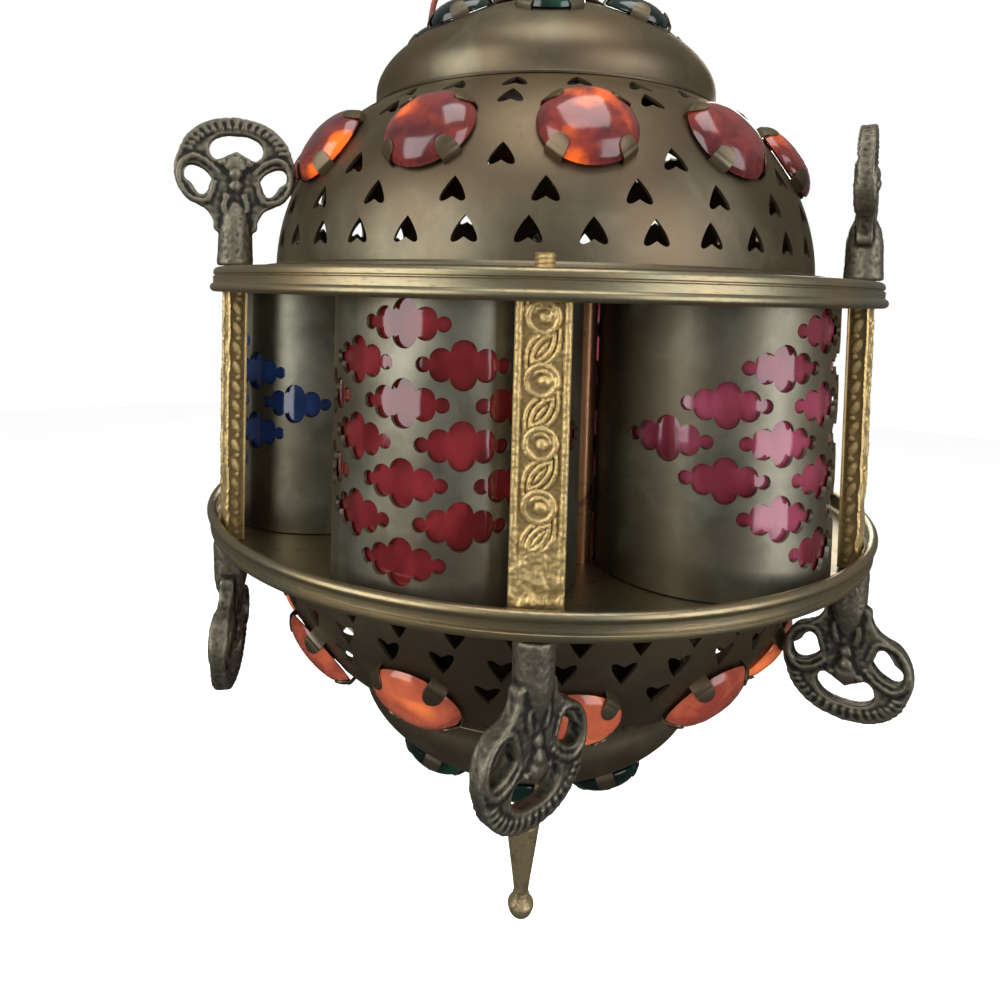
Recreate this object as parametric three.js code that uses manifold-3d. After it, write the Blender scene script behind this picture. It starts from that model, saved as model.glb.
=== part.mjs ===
// A hanging lantern of pierced sheet brass: six half-round lobes of glass behind pierced panels,
// held between two tray rings by six cast posts, with a stepped and jewelled dome above and below.
// Millimetres, +Z up. The origin is where the hook carries the hanging ring.
import * as THREE from "three";
import { mergeGeometries, mergeVertices, toCreasedNormals } from "three/addons/utils/BufferGeometryUtils.js";
import Module from "manifold-3d";

const wasm = await Module();
wasm.setup();

// Driving dimensions, in millimetres and degrees.
// A bearing is measured round +Z from the front, which is -Y, and grows towards +X.
const GAP = 0.3; // clearance between pieces that seat on each other
const SHEET = 0.9; // gauge of the sheet brass
const NEAR = 1e-3; // points closer than this are one point

// Cage: two tray rings and the posts between them
const RING_RADIUS = 100;
const CAGE_HEIGHT = 74.4; // from the outer face of one tray to the outer face of the other
const BAND_HEIGHT = 6.8;
const BAND_WALL = 1.2;
const BEAD = 1; // how far the rolled edge stands out of the band
const TRAY = 1; // thickness of the tray's floor
const TRAY_LIP = 1.8; // what is left of the tray between its open middle and a valley rod
const RING_SIDES = 24;
const POSTS = 6;
const POST_WIDTH = 11.5;
const POST_DEPTH = 5;
const POST_CHAMFER = 1.6;
const STUD_RADIUS = 2.2;
const STUD_REACH = 8; // how far a stud stands out of the tray into a finial
const STUD_TIP = 3; // how far a stud without a finial stands out
const STUD_SIDES = 6;

// Lobed body: pierced panels, glass behind them and a rod in each valley
const LOBES = 6;
const BODY_TURN = 12.6; // bearing of the first valley: the body sits turned in the cage
const LOBE_INSET = 4; // from the outside of the rings in to the front of a lobe
const LOBE_SPACING = 6; // between two neighbouring lobes where they come nearest
const COLUMN_PITCH = 24.5; // degrees of a lobe between two columns of piercings
const PANEL_PITCHES = 5; // column pitches from the middle of a panel to its edge
const CLOUD_COLUMNS = [1, 2, 3, 4, 3, 2, 1]; // piercings in each column
const CLOUD_WIDTH = 20;
const CLOUD_HEIGHT = 10.8;
const CLOUD_PITCH = 16.8; // between the piercings of a column
const GLASS = 2;
const BLUE_LOBES = [2, 5]; // lobes whose glass is blue
const GLASS_SPREAD = 110.25; // degrees of a lobe from the middle of a glass trough to its edge
const ROD_RADIUS = 2.8;
const ROD_SIDES = 6;

// Domes: a main dome on each tray with a stepped tier on it
const DOME_FLANGE = 3.6; // width of the foot that stands on the tray
const DOME_SPACE = 4.35; // between the foot of a dome and the sockets of the finials
const UPPER_DOME_DEPTH = 51.5;
const LOWER_DOME_DEPTH = 47;
const DOME_BENDS = [13.6, 23.6]; // heights of the bends between the rows of piercings
const DOME_STEP = 0.72; // share of the depth with a further bend
const SHOULDER_OUT = 1.2; // how far the level shoulder stands out from under the tier
const SHOULDER_IN = 4.5; // how far the shoulder reaches in under the tier
const DOME_SIDES = 36;
const TIER_RADIUS = 53.5;
const TIER_WALL = 4.8; // height of the tier's upright foot
const TIER_DEPTH = 32;
const TIER_TOP = 19;
const SHOULDER_DROP = 1.2; // how far the shoulder lies below the top of the dome's curve
const TIER_STEPS = [0, 0.4, 0.72, 1]; // shares of the curve with a bend
const TIER_SIDES = 20;
const UPPER_TIER_OPENING = 15;

// Piercings and glass jewels of the domes
const HEART_WIDTH = 6.2;
const HEART_HEIGHT = 6.2;
const HEART_ROWS = [{ height: 8.4, count: 36, turn: 0 }];
const AMBER_COUNT = 12;
const AMBER_RADIUS = 12;
const AMBER_RISE = 5.2;
const AMBER_PLACE = 0.64; // share of the dome's depth at which the ambers sit
const AMBER_TURN = 7.5; // bearing of the first amber
const GREEN_COUNT = 8;
const GREEN_RADIUS = 9.8;
const GREEN_RISE = 4.6;
const GREEN_PLACE = 0.76; // share of the tier's depth at which the greens sit
const UPPER_GREEN_TURN = 1;
const LOWER_GREEN_TURN = -4;
const JEWEL_SIDES = 8;
const JEWEL_SINK = 0.6; // how deep a jewel of the lower dome is let into its sheet

// Neck, hanging ring and the fittings inside
const NECK_RADIUS = 16.4;
const NECK_HEIGHT = 14;
const NECK_FLANGE = 21;
const NECK_SIDES = 12;
const CAP_HEIGHT = 6;
const CAP_LAND = 2.2; // from the top of the cap down to the flat under it
const EYE_RADIUS = 6;
const EYE_WIRE = 1.8;
const HANGING_RING_RADIUS = 15;
const HANGING_RING_WIRE = 1.7;
const HANGING_RING_SIDES = 16;
const EYE_SIDES = 10;
const WIRE_SIDES = 5; // sides of the wire of the eye and of the hanging ring
const WIRE_HOLE_RADIUS = 2.9;
const WIRE_HOLE_BEARING = -110;
const HOLDER_RADIUS = 14;
const HOLDER_LENGTH = 42;
const HOLDER_WALL = 1.6;
const HOLDER_CUP = 30; // depth of the holder's mouth
const NIPPLE_RADIUS = 5;
const NIPPLE_LENGTH = 12;

// Key finials, screwed on the studs
const SOCKET_RADIUS = 4.6;
const SOCKET_LENGTH = 13;
const SOCKET_BORE = 2.75;
const SOCKET_SIDES = 6;
const SHANK_RADIUS = 3;
const BOW_HALF_WIDTH = 16;
const BOW_HALF_HEIGHT = 11.6;
const BOW_CENTRE = 28; // from the finial's seat
const BOW_THICKNESS = 4;
const BOW_SIDES = 12;
const KIDNEY = { x: 0, z: 4.2, halfWidth: 7.6, halfHeight: 3.7, sides: 6 };
const LOOP = { x: 9, z: -3.2, halfWidth: 3.4, halfHeight: 3.8, sides: 5 };
const LOWER_KEY_TURNS = [45, -32, 15, 70, -20, 100];
const UPPER_KEYS = [
  { post: 1, turn: 65 },
  { post: 3, turn: 35 },
  { post: 5, turn: 20 },
];

// Bottom finial
const DROP_FLANGE = 9;
const DROP_WAIST = 3.3;
const DROP_SHOULDER = 5.8; // radius where the cone starts
const DROP_CONE_TOP = 28.8; // from the finial's seat
const DROP_CONE = 53; // from the seat to the cone's end
const DROP_CONE_END = 2.3;
const DROP_BALL = 4.3;
const DROP_STUD = 7;
const DROP_SIDES = 10;
const NUT_RADIUS = 6;
const NUT_HEIGHT = 4;
const NUT_SIDES = 6;

// Leads
const LEAD_RADIUS = 1;
const LEAD_SIDES = 8;
const LEAD_STEPS = 15;

const half = CAGE_HEIGHT / 2;
const trayInner = half - TRAY;
const flatWall = (RING_RADIUS - BAND_WALL) * Math.cos(Math.PI / RING_SIDES);
const postRadius = flatWall - GAP - POST_DEPTH / 2;
const bodyHeight = 2 * (trayInner - GAP);
const lobeTurn = BODY_TURN - 180 / LOBES;
const halfTurn = Math.PI / LOBES; // between a lobe and the valley beside it

// The lobes fill the rings: as wide as their inset and their spacing leave room for
const lobeReach = RING_RADIUS - LOBE_INSET;
const lobeRadius = (2 * Math.sin(halfTurn) * lobeReach - LOBE_SPACING) / (2 + 2 * Math.sin(halfTurn));
const lobeCentre = lobeReach - lobeRadius;
const rodClear = lobeRadius + ROD_RADIUS + GAP;
const rodSink = Math.sqrt(Math.max(0, rodClear ** 2 - (lobeCentre * Math.sin(halfTurn)) ** 2));
const rodCentre = lobeCentre * Math.cos(halfTurn) - rodSink;
const trayOpening = rodCentre - ROD_RADIUS - TRAY_LIP;
const domeBase = postRadius - SOCKET_RADIUS - DOME_SPACE - DOME_FLANGE;
const domeRim = TIER_RADIUS - SHOULDER_IN;
const domeShoulder = TIER_RADIUS + SHOULDER_OUT;

const material = (color, roughness, metalness, opacity = 1) =>
  new THREE.MeshStandardMaterial({ color, roughness, metalness, opacity, transparent: opacity < 1 });
const bronze = material(0x5a4a34, 0.45, 0.9);
const ringBrass = material(0x6b6043, 0.38, 0.95);
const castBrass = material(0xa8894a, 0.45, 0.95);
const pewter = material(0x4c4940, 0.5, 0.9);
const redGlass = material(0x8c1f33, 0.12, 0, 0.55);
const amberGlass = material(0xd4541c, 0.1, 0, 0.7);
const blueGlass = material(0x23407a, 0.12, 0, 0.55);
const greenGlass = material(0x0d4a30, 0.1, 0, 0.7);
const porcelain = material(0xd8d2c4, 0.35, 0);
const redLead = material(0x4a1712, 0.6, 0);
const greyLead = material(0x6e6c69, 0.6, 0);

const radians = THREE.MathUtils.degToRad;

// Solids and geometries
function merged(geometry) {
  const bare = new THREE.BufferGeometry();
  bare.setAttribute("position", geometry.getAttribute("position"));
  bare.setIndex(geometry.getIndex());
  return mergeVertices(bare, 0.1 * NEAR);
}

function solid(geometry) {
  const whole = merged(geometry);
  return new wasm.Manifold(
    new wasm.Mesh({
      numProp: 3,
      vertProperties: whole.getAttribute("position").array,
      triVerts: new Uint32Array(whole.getIndex().array),
    }),
  );
}

function surface(body) {
  const mesh = body.getMesh();
  const geometry = new THREE.BufferGeometry();
  geometry.setAttribute("position", new THREE.BufferAttribute(mesh.vertProperties, 3));
  geometry.setIndex(new THREE.BufferAttribute(mesh.triVerts, 1));
  return geometry;
}

function cut(body, ...tools) {
  return surface(tools.reduce((left, tool) => left.subtract(solid(tool)), solid(body)));
}

function join(body, ...pieces) {
  return surface(pieces.reduce((whole, piece) => whole.add(solid(piece)), solid(body)));
}

// A profile of [radius, height] points turned round Z. It closes on the axis or on itself.
function turned(profile, sides, bearing = 0) {
  const points = profile.map(([radius, height]) => new THREE.Vector2(radius, height));
  if (THREE.ShapeUtils.area(points) < 0) points.reverse();
  const axis = points.findIndex((p, i) => p.x === 0 && points[(i + 1) % points.length].x === 0);
  if (axis < 0) points.push(points[0].clone());
  else points.push(...points.splice(0, axis + 1));
  return new THREE.LatheGeometry(points, sides, radians(bearing)).rotateX(Math.PI / 2);
}

function prism(radius, from, to, sides) {
  return new THREE.CylinderGeometry(radius, radius, to - from, sides)
    .rotateX(Math.PI / 2)
    .translate(0, 0, (from + to) / 2);
}

function torus(radius, wire, around, sides) {
  const circle = Array.from({ length: sides }, (_, i) => {
    const angle = (2 * Math.PI * i) / sides;
    return [radius + wire * Math.cos(angle), wire * Math.sin(angle)];
  });
  return turned(circle, around);
}

function outline(points) {
  return new THREE.Shape(points.map(([x, y]) => new THREE.Vector2(x, y)));
}

// The scene graph
const lantern = new THREE.Group();

function piece(name, geometry, look, parent = lantern) {
  const mesh = new THREE.Mesh(toCreasedNormals(merged(geometry), radians(35)), look);
  mesh.name = name;
  parent.add(mesh);
  return mesh;
}

// A group whose local -Y looks outwards at a bearing.
function spoke(bearing, radius = 0, height = 0, parent = lantern) {
  const group = new THREE.Group();
  const angle = radians(bearing);
  group.rotation.z = angle;
  group.position.set(radius * Math.sin(angle), -radius * Math.cos(angle), height);
  parent.add(group);
  return group;
}

const bearings = (count, turn = 0) => Array.from({ length: count }, (_, i) => turn + (360 * i) / count);

// Tray rings, with a hole in the floor for each stud
function trayRing(side) {
  const wall = RING_RADIUS - BAND_WALL;
  const edge = half - BAND_HEIGHT;
  const profile = [
    [trayOpening, half],
    [trayOpening, trayInner],
    [wall, trayInner],
    [wall, edge],
    [RING_RADIUS + BEAD, edge + 0.6 * BEAD],
    [RING_RADIUS, edge + 2.4 * BEAD],
    [RING_RADIUS, half],
  ];
  const holes = bearings(POSTS).map((bearing) =>
    prism(STUD_RADIUS + GAP, trayInner - 1, half + 1, STUD_SIDES)
      .translate(0, -postRadius, 0)
      .rotateZ(radians(bearing)),
  );
  const ring = cut(turned(profile, RING_SIDES, 180 / RING_SIDES), mergeGeometries(holes));
  return side > 0 ? ring : ring.rotateX(Math.PI);
}

piece("upper_ring", trayRing(1), ringBrass);

// The lower ring carries the valley rods that stand on its floor.
const rods = bearings(LOBES, BODY_TURN).map((bearing) =>
  prism(ROD_RADIUS, -trayInner - TRAY / 2, trayInner - GAP, ROD_SIDES)
    .translate(0, -rodCentre, 0)
    .rotateZ(radians(bearing)),
);
piece("lower_ring", join(trayRing(-1), mergeGeometries(rods)), ringBrass);

// Posts
function post(upperReach) {
  const x = POST_WIDTH / 2;
  const y = POST_DEPTH / 2;
  const section = outline([
    [-x, y],
    [-x, -y + POST_CHAMFER],
    [-x + POST_CHAMFER, -y],
    [x - POST_CHAMFER, -y],
    [x, -y + POST_CHAMFER],
    [x, y],
  ]);
  const bar = new THREE.ExtrudeGeometry(section, { depth: bodyHeight, bevelEnabled: false });
  bar.translate(0, 0, -bodyHeight / 2);
  const stud = prism(STUD_RADIUS, -half - STUD_REACH, half + upperReach, STUD_SIDES);
  return join(bar, stud);
}

bearings(POSTS).forEach((bearing, i) => {
  const keyed = UPPER_KEYS.some((key) => key.post === i);
  piece(`post_${i + 1}`, post(keyed ? STUD_REACH : STUD_TIP), castBrass, spoke(bearing, postRadius));
});

// One cloud piercing: a lobe at each end and a broad crown above and below, with a notch between them.
// The notches fall on the fold lines half a column away, so no fold runs through a lobe.
const pitch = radians(COLUMN_PITCH) * lobeRadius;

function cloud() {
  const end = CLOUD_WIDTH / 2;
  const crown = CLOUD_HEIGHT / 2;
  const notch = [pitch / 2, 0.36 * crown];
  const shoulder = [0.3 * pitch, crown];
  return outline([
    [end, 0],
    notch,
    shoulder,
    [-shoulder[0], shoulder[1]],
    [-notch[0], notch[1]],
    [-end, 0],
    [-notch[0], -notch[1]],
    [-shoulder[0], -shoulder[1]],
    [shoulder[0], -shoulder[1]],
    [notch[0], -notch[1]],
  ]);
}

// The bearings of the folds of a lobe, half a column to each side of the columns
function foldTurns(pitches) {
  const turns = [];
  for (let at = 0.5; at < pitches - 0.01; at++) turns.push(-at * COLUMN_PITCH, at * COLUMN_PITCH);
  return turns.sort((a, b) => a - b);
}

// A flat sheet with its piercings is cut in strips between its folds, and the strips are laid round the
// axis of a lobe. x runs along the arc, with 0 at the front.
function folded(piercings, folds) {
  const tools = solid(piercings);
  const strips = folds.slice(1).map((right, i) => {
    const left = folds[i];
    const blank = new THREE.BoxGeometry(right - left, bodyHeight, SHEET);
    blank.translate((left + right) / 2, 0, SHEET / 2);
    const strip = surface(solid(blank).subtract(tools));
    const at = strip.getAttribute("position");
    const index = Array.from(strip.getIndex().array);
    const onFold = (corners, x) => corners.every((c) => Math.abs(at.getX(c) - x) < NEAR);
    const kept = [];
    for (let t = 0; t < index.length; t += 3) {
      const corners = index.slice(t, t + 3);
      const inner = (i > 0 && onFold(corners, left)) || (i < folds.length - 2 && onFold(corners, right));
      if (!inner) kept.push(...corners);
    }
    return strip.setIndex(kept);
  });
  const whole = merged(mergeGeometries(strips));
  const at = whole.getAttribute("position");
  for (let i = 0; i < at.count; i++) {
    const angle = at.getX(i) / lobeRadius;
    const reach = lobeRadius - SHEET + at.getZ(i);
    at.setXYZ(i, reach * Math.sin(angle), -reach * Math.cos(angle), at.getY(i));
  }
  return whole;
}

function panel() {
  const edge = PANEL_PITCHES * pitch;
  const middle = (CLOUD_COLUMNS.length - 1) / 2;
  const clouds = CLOUD_COLUMNS.flatMap((count, column) =>
    Array.from({ length: count }, (_, i) => {
      const height = (i - (count - 1) / 2) * CLOUD_PITCH;
      const tool = new THREE.ExtrudeGeometry(cloud(), { depth: 3 * SHEET, bevelEnabled: false });
      return tool.translate((column - middle) * pitch, height, -SHEET);
    }),
  );
  const folds = foldTurns(PANEL_PITCHES).map((turn) => radians(turn) * lobeRadius);
  return folded(mergeGeometries(clouds), [-edge, ...folds, edge]);
}

// The glass behind a panel: a plain trough, short of the panel's edges and folded on the same lines
function trough() {
  const outer = lobeRadius - SHEET - 1.5 * GAP;
  const folds = foldTurns(GLASS_SPREAD / COLUMN_PITCH);
  const turns = [-GLASS_SPREAD, ...folds, GLASS_SPREAD].map(radians);
  const arc = (radius) => turns.map((turn) => [radius * Math.sin(turn), -radius * Math.cos(turn)]);
  const section = outline([...arc(outer), ...arc(outer - GLASS).reverse()]);
  const glass = new THREE.ExtrudeGeometry(section, { depth: bodyHeight, bevelEnabled: false });
  return glass.translate(0, 0, -bodyHeight / 2);
}

bearings(LOBES, lobeTurn).forEach((bearing, i) => {
  const lobe = spoke(bearing, lobeCentre);
  piece(`panel_${i + 1}`, panel(), bronze, lobe);
  piece(`glass_liner_${i + 1}`, trough(), BLUE_LOBES.includes(i) ? blueGlass : redGlass, lobe);
});

// The curve of a main dome: upright at its foot, almost level at its rim
function domeRadius(height, depth, base = domeBase) {
  const share = Math.min(height / depth, 1);
  return domeRim + (base - domeRim) * (1 - share ** 2) ** (2 / 3);
}

function tierRadius(height, wide = TIER_RADIUS) {
  const share = Math.max(0, (height - TIER_WALL) / (TIER_DEPTH - TIER_WALL));
  return TIER_TOP + (wide - TIER_TOP) * (1 - share ** 2);
}

// The matrix that lays a flat piece on a surface of revolution, its own Z along the surface's normal
function onSurface(radiusAt, height, bearing, lift = 0) {
  const step = 0.5;
  const slope = (radiusAt(height + step) - radiusAt(height - step)) / (2 * step);
  const tilt = Math.atan(-slope);
  const radius = radiusAt(height) + lift * Math.cos(tilt);
  return new THREE.Matrix4()
    .makeRotationZ(radians(bearing))
    .multiply(new THREE.Matrix4().makeTranslation(0, -radius, height + lift * Math.sin(tilt)))
    .multiply(new THREE.Matrix4().makeRotationX(Math.PI / 2 - tilt));
}

// The corners of a heart, its tip up, against the clock
function heart() {
  const x = HEART_WIDTH / 2;
  const y = HEART_HEIGHT / 2;
  return [
    [0, y],
    [-x, -0.55 * y],
    [-0.62 * x, -y],
    [0, -0.5 * y],
    [0.62 * x, -y],
    [x, -0.55 * y],
  ];
}

// A closed profile turned round Z in flat facets, with rows of hearts pierced through its wall. The
// profile runs out along the foot, up outside and down inside, and a heart lies within one facet.
function piercedShell(profile, sides, turn, rows) {
  const step = 360 / sides;
  const points = profile.flatMap(([radius, height]) =>
    bearings(sides, turn - step / 2).map((bearing) => {
      const angle = radians(bearing);
      return new THREE.Vector3(radius * Math.sin(angle), -radius * Math.cos(angle), height);
    }),
  );
  const corner = (band, side) => (band % profile.length) * sides + (side % sides);
  const triangles = [];
  const holes = new Map();

  const frameOf = (band, side) => {
    const foot = points[corner(band, side)].clone().lerp(points[corner(band, side + 1)], 0.5);
    const head = points[corner(band + 1, side)].clone().lerp(points[corner(band + 1, side + 1)], 0.5);
    const across = points[corner(band, side + 1)].clone().sub(points[corner(band, side)]).normalize();
    return { foot, head, across, along: head.clone().sub(foot).normalize() };
  };
  for (const row of rows) {
    const through = profile.keys().filter((band) => {
      const [low, high] = [profile[band][1], profile[(band + 1) % profile.length][1]];
      return (low - row.height) * (high - row.height) < 0;
    });
    const bands = [...through];
    for (const bearing of bearings(row.count, row.turn)) {
      const side = Math.round(bearing / step);
      const rims = bands.map((band) => {
        const { foot, head, across, along } = frameOf(band, side);
        const share = (row.height - foot.z) / (head.z - foot.z);
        const shift = Math.hypot(foot.x, foot.y) * radians(bearing - side * step);
        const centre = foot.clone().lerp(head, share).addScaledVector(across, shift);
        const rise = Math.sign(along.z);
        const rim = heart().map(([u, v]) => {
          points.push(centre.clone().addScaledVector(across, u).addScaledVector(along, rise * v));
          return points.length - 1;
        });
        holes.set(corner(band, side), rim);
        return rim;
      });
      const [outer, inner] = rims;
      outer.forEach((start, i) => {
        const next = (i + 1) % outer.length;
        triangles.push(start, outer[next], inner[next], start, inner[next], inner[i]);
      });
    }
  }

  for (let band = 0; band < profile.length; band++) {
    for (let side = 0; side < sides; side++) {
      const near = [corner(band, side), corner(band, side + 1)];
      const quad = [...near, corner(band + 1, side + 1), corner(band + 1, side)];
      const rim = holes.get(quad[0]) ?? [];
      const { foot, across, along } = frameOf(band, side);
      const flat = (i) => {
        const from = points[i].clone().sub(foot);
        return new THREE.Vector2(from.dot(across), from.dot(along));
      };
      const hole = THREE.ShapeUtils.isClockWise(rim.map(flat)) ? rim : [...rim].reverse();
      const all = [...quad, ...hole];
      const faces = THREE.ShapeUtils.triangulateShape(quad.map(flat), hole.length ? [hole.map(flat)] : []);
      faces.forEach((face) => triangles.push(...face.map((i) => all[i])));
    }
  }
  const shell = new THREE.BufferGeometry().setFromPoints(points);
  return shell.setIndex(triangles);
}

function jewel(radius, rise) {
  return turned([[0, rise], [0.64 * radius, 0.78 * rise], [radius, 0], [0, 0]], JEWEL_SIDES);
}

// A main dome stands on z = 0 with its rim up. The facets turn with the jewels.
function mainDome(depth, turn) {
  const inner = domeBase - SHEET;
  const shoulder = depth - SHOULDER_DROP;
  const bends = [...DOME_BENDS, DOME_STEP * depth];
  const outside = bends.map((height) => [domeRadius(height, depth), height]);
  const inside = bends.map((height) => [domeRadius(height, depth, inner), height * (1 - SHEET / depth)]);
  const profile = [
    [inner, 0],
    [domeBase + DOME_FLANGE, 0],
    [domeBase + DOME_FLANGE, SHEET],
    [domeBase, SHEET],
    ...outside,
    [domeShoulder, shoulder],
    [domeRim, shoulder],
    [domeRim, shoulder - SHEET],
    ...inside.reverse(),
  ];
  return piercedShell(profile, DOME_SIDES, turn, HEART_ROWS);
}

function tier(opening, turn) {
  const curve = (wide) => (share) => tierRadius(TIER_WALL + share * (TIER_DEPTH - TIER_WALL), wide);
  const height = (share, top) => TIER_WALL + share * (top - TIER_WALL);
  const outside = TIER_STEPS.map((share) => [curve(TIER_RADIUS)(share), height(share, TIER_DEPTH)]);
  const inside = TIER_STEPS.map((share) => [
    curve(TIER_RADIUS - SHEET)(share),
    height(share, TIER_DEPTH - SHEET),
  ]);
  const profile = [
    [TIER_RADIUS - SHEET, 0],
    [TIER_RADIUS, 0],
    ...outside,
    [opening, TIER_DEPTH],
    [opening, TIER_DEPTH - SHEET],
    ...inside.reverse(),
  ];
  return turned(profile, TIER_SIDES, turn);
}

function jewelPlaces(count, turn, radiusAt, height, lift) {
  return bearings(count, turn).map((bearing) => onSurface(radiusAt, height, bearing, lift));
}

// Upper half
const upperSeat = half + GAP;
const upperTierFoot = UPPER_DOME_DEPTH - SHOULDER_DROP + GAP;
const amberHeight = (depth) => AMBER_PLACE * depth;
const greenHeight = GREEN_PLACE * TIER_DEPTH;
const upper = new THREE.Group();
upper.position.z = upperSeat;
lantern.add(upper);
piece("upper_dome", mainDome(UPPER_DOME_DEPTH, AMBER_TURN), bronze, upper);

const upperTier = new THREE.Group();
upperTier.position.z = upperTierFoot;
upper.add(upperTier);
piece("upper_tier", tier(UPPER_TIER_OPENING, 0), bronze, upperTier);

const upperCurve = (h) => domeRadius(h, UPPER_DOME_DEPTH);
jewelPlaces(AMBER_COUNT, AMBER_TURN, upperCurve, amberHeight(UPPER_DOME_DEPTH), GAP).forEach((place, i) => {
  piece(`amber_jewel_${i + 1}`, jewel(AMBER_RADIUS, AMBER_RISE).applyMatrix4(place), amberGlass, upper);
});
jewelPlaces(GREEN_COUNT, UPPER_GREEN_TURN, tierRadius, greenHeight, GAP).forEach((place, i) => {
  piece(`green_jewel_${i + 1}`, jewel(GREEN_RADIUS, GREEN_RISE).applyMatrix4(place), greenGlass, upperTier);
});

// Lower half: the same parts turned over, with their jewels let into the sheet
const lower = new THREE.Group();
lower.position.z = -upperSeat;
lower.rotation.x = Math.PI;
lantern.add(lower);
const mirrored = (bearing) => 180 - bearing;
const lowerCurve = (h) => domeRadius(h, LOWER_DOME_DEPTH);

function studded(body, count, turn, radiusAt, height, stone) {
  const places = jewelPlaces(count, turn, radiusAt, height, -JEWEL_SINK);
  return join(body, mergeGeometries(places.map((place) => stone().applyMatrix4(place))));
}

const lowerDome = studded(
  mainDome(LOWER_DOME_DEPTH, mirrored(AMBER_TURN)),
  AMBER_COUNT,
  mirrored(AMBER_TURN),
  lowerCurve,
  amberHeight(LOWER_DOME_DEPTH),
  () => jewel(AMBER_RADIUS, AMBER_RISE),
);
piece("lower_dome", lowerDome, bronze, lower);

const lowerTier = new THREE.Group();
lowerTier.position.z = LOWER_DOME_DEPTH - SHOULDER_DROP + GAP;
lower.add(lowerTier);
const lowerTierBody = studded(
  tier(STUD_RADIUS + GAP, 0),
  GREEN_COUNT,
  mirrored(LOWER_GREEN_TURN),
  tierRadius,
  greenHeight,
  () => jewel(GREEN_RADIUS, GREEN_RISE),
);
piece("lower_tier", lowerTierBody, bronze, lowerTier);

// Bottom finial, drawn along its own +Z away from the tier, and the nut on its stud
const drop = new THREE.Group();
drop.position.z = TIER_DEPTH + GAP;
lowerTier.add(drop);
const dropProfile = [
  [0, -DROP_STUD],
  [STUD_RADIUS, -DROP_STUD],
  [STUD_RADIUS, 0],
  [DROP_FLANGE, 0],
  [DROP_FLANGE - 1, 2.4],
  [1.4 * DROP_WAIST, 0.2 * DROP_CONE_TOP],
  [DROP_WAIST, 0.75 * DROP_CONE_TOP],
  [DROP_SHOULDER, DROP_CONE_TOP],
  [DROP_CONE_END, DROP_CONE],
  [DROP_BALL, DROP_CONE + 0.9 * DROP_BALL],
  [0.55 * DROP_BALL, DROP_CONE + 1.75 * DROP_BALL],
  [0, DROP_CONE + 2 * DROP_BALL],
];
piece("bottom_finial", turned(dropProfile, DROP_SIDES), castBrass, drop);
const nutHeight = [-SHEET - 2 * GAP - NUT_HEIGHT, -SHEET - 2 * GAP];
const nut = cut(
  prism(NUT_RADIUS, ...nutHeight, NUT_SIDES),
  prism(STUD_RADIUS + GAP, nutHeight[0] - 1, nutHeight[1] + 1, DROP_SIDES),
);
piece("finial_nut", nut, castBrass, drop);

// Key finials: a socket on the stud, a shank and a flat bow with three openings
function ellipse(x, z, halfWidth, halfHeight, sides) {
  return Array.from({ length: sides }, (_, i) => {
    const angle = (2 * Math.PI * (i + 0.5)) / sides;
    return [x + halfWidth * Math.cos(angle), z + halfHeight * Math.sin(angle)];
  });
}

function keyFinial() {
  const bow = outline(ellipse(0, BOW_CENTRE, BOW_HALF_WIDTH, BOW_HALF_HEIGHT, BOW_SIDES));
  const opening = (hole, side) =>
    outline(ellipse(side * hole.x, BOW_CENTRE + hole.z, hole.halfWidth, hole.halfHeight, hole.sides));
  bow.holes.push(opening(KIDNEY, 1), opening(LOOP, -1), opening(LOOP, 1));
  const plate = new THREE.ExtrudeGeometry(bow, { depth: BOW_THICKNESS, bevelEnabled: false });
  plate.translate(0, 0, -BOW_THICKNESS / 2).rotateX(Math.PI / 2);
  const bore = STUD_REACH + 2 * GAP;
  const socket = turned(
    [
      [SOCKET_BORE, 0],
      [SOCKET_RADIUS, 0],
      [SOCKET_RADIUS - 0.5, SOCKET_LENGTH],
      [0.6 * SHANK_RADIUS, BOW_CENTRE],
      [0, BOW_CENTRE],
      [0, bore],
      [SOCKET_BORE, bore],
    ],
    SOCKET_SIDES,
  );
  return join(plate, socket);
}

function keyOn(postIndex, turn, side, name) {
  const place = spoke(bearings(POSTS)[postIndex], postRadius, side * upperSeat);
  const key = new THREE.Group();
  key.rotation.set(side > 0 ? 0 : Math.PI, 0, radians(turn) - place.rotation.z, "ZYX");
  place.add(key);
  piece(name, keyFinial(), pewter, key);
}

LOWER_KEY_TURNS.forEach((turn, i) => keyOn(i, turn, -1, `key_finial_lower_${i + 1}`));
UPPER_KEYS.forEach((key, i) => keyOn(key.post, key.turn, 1, `key_finial_upper_${i + 1}`));

// Neck: a flared tube with a domed cap, the eye on it and a hole at the back for the leads
const capTop = NECK_HEIGHT + CAP_HEIGHT;
const neckProfile = [
  [NECK_RADIUS - SHEET, 0],
  [NECK_FLANGE, 0],
  [NECK_FLANGE - 1.5, 1.4],
  [NECK_RADIUS + 0.8, 4],
  [NECK_RADIUS, NECK_HEIGHT],
  [0.7 * NECK_RADIUS, NECK_HEIGHT + 0.72 * CAP_HEIGHT],
  [0, capTop],
  [0, capTop - CAP_LAND],
  [NIPPLE_RADIUS + 1, capTop - CAP_LAND],
  [0.66 * NECK_RADIUS, NECK_HEIGHT + 0.72 * CAP_HEIGHT - 1.4],
  [NECK_RADIUS - SHEET, NECK_HEIGHT - 1],
];
const eyeCentre = capTop + EYE_RADIUS;
const eye = torus(EYE_RADIUS, EYE_WIRE, EYE_SIDES, WIRE_SIDES).rotateY(Math.PI / 2);
const holeTilt = radians(32);
const wireHole = prism(WIRE_HOLE_RADIUS, -6, 6, 8)
  .rotateX(holeTilt)
  .translate(0, -0.84 * NECK_RADIUS, NECK_HEIGHT + 0.38 * CAP_HEIGHT)
  .rotateZ(radians(WIRE_HOLE_BEARING));
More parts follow.
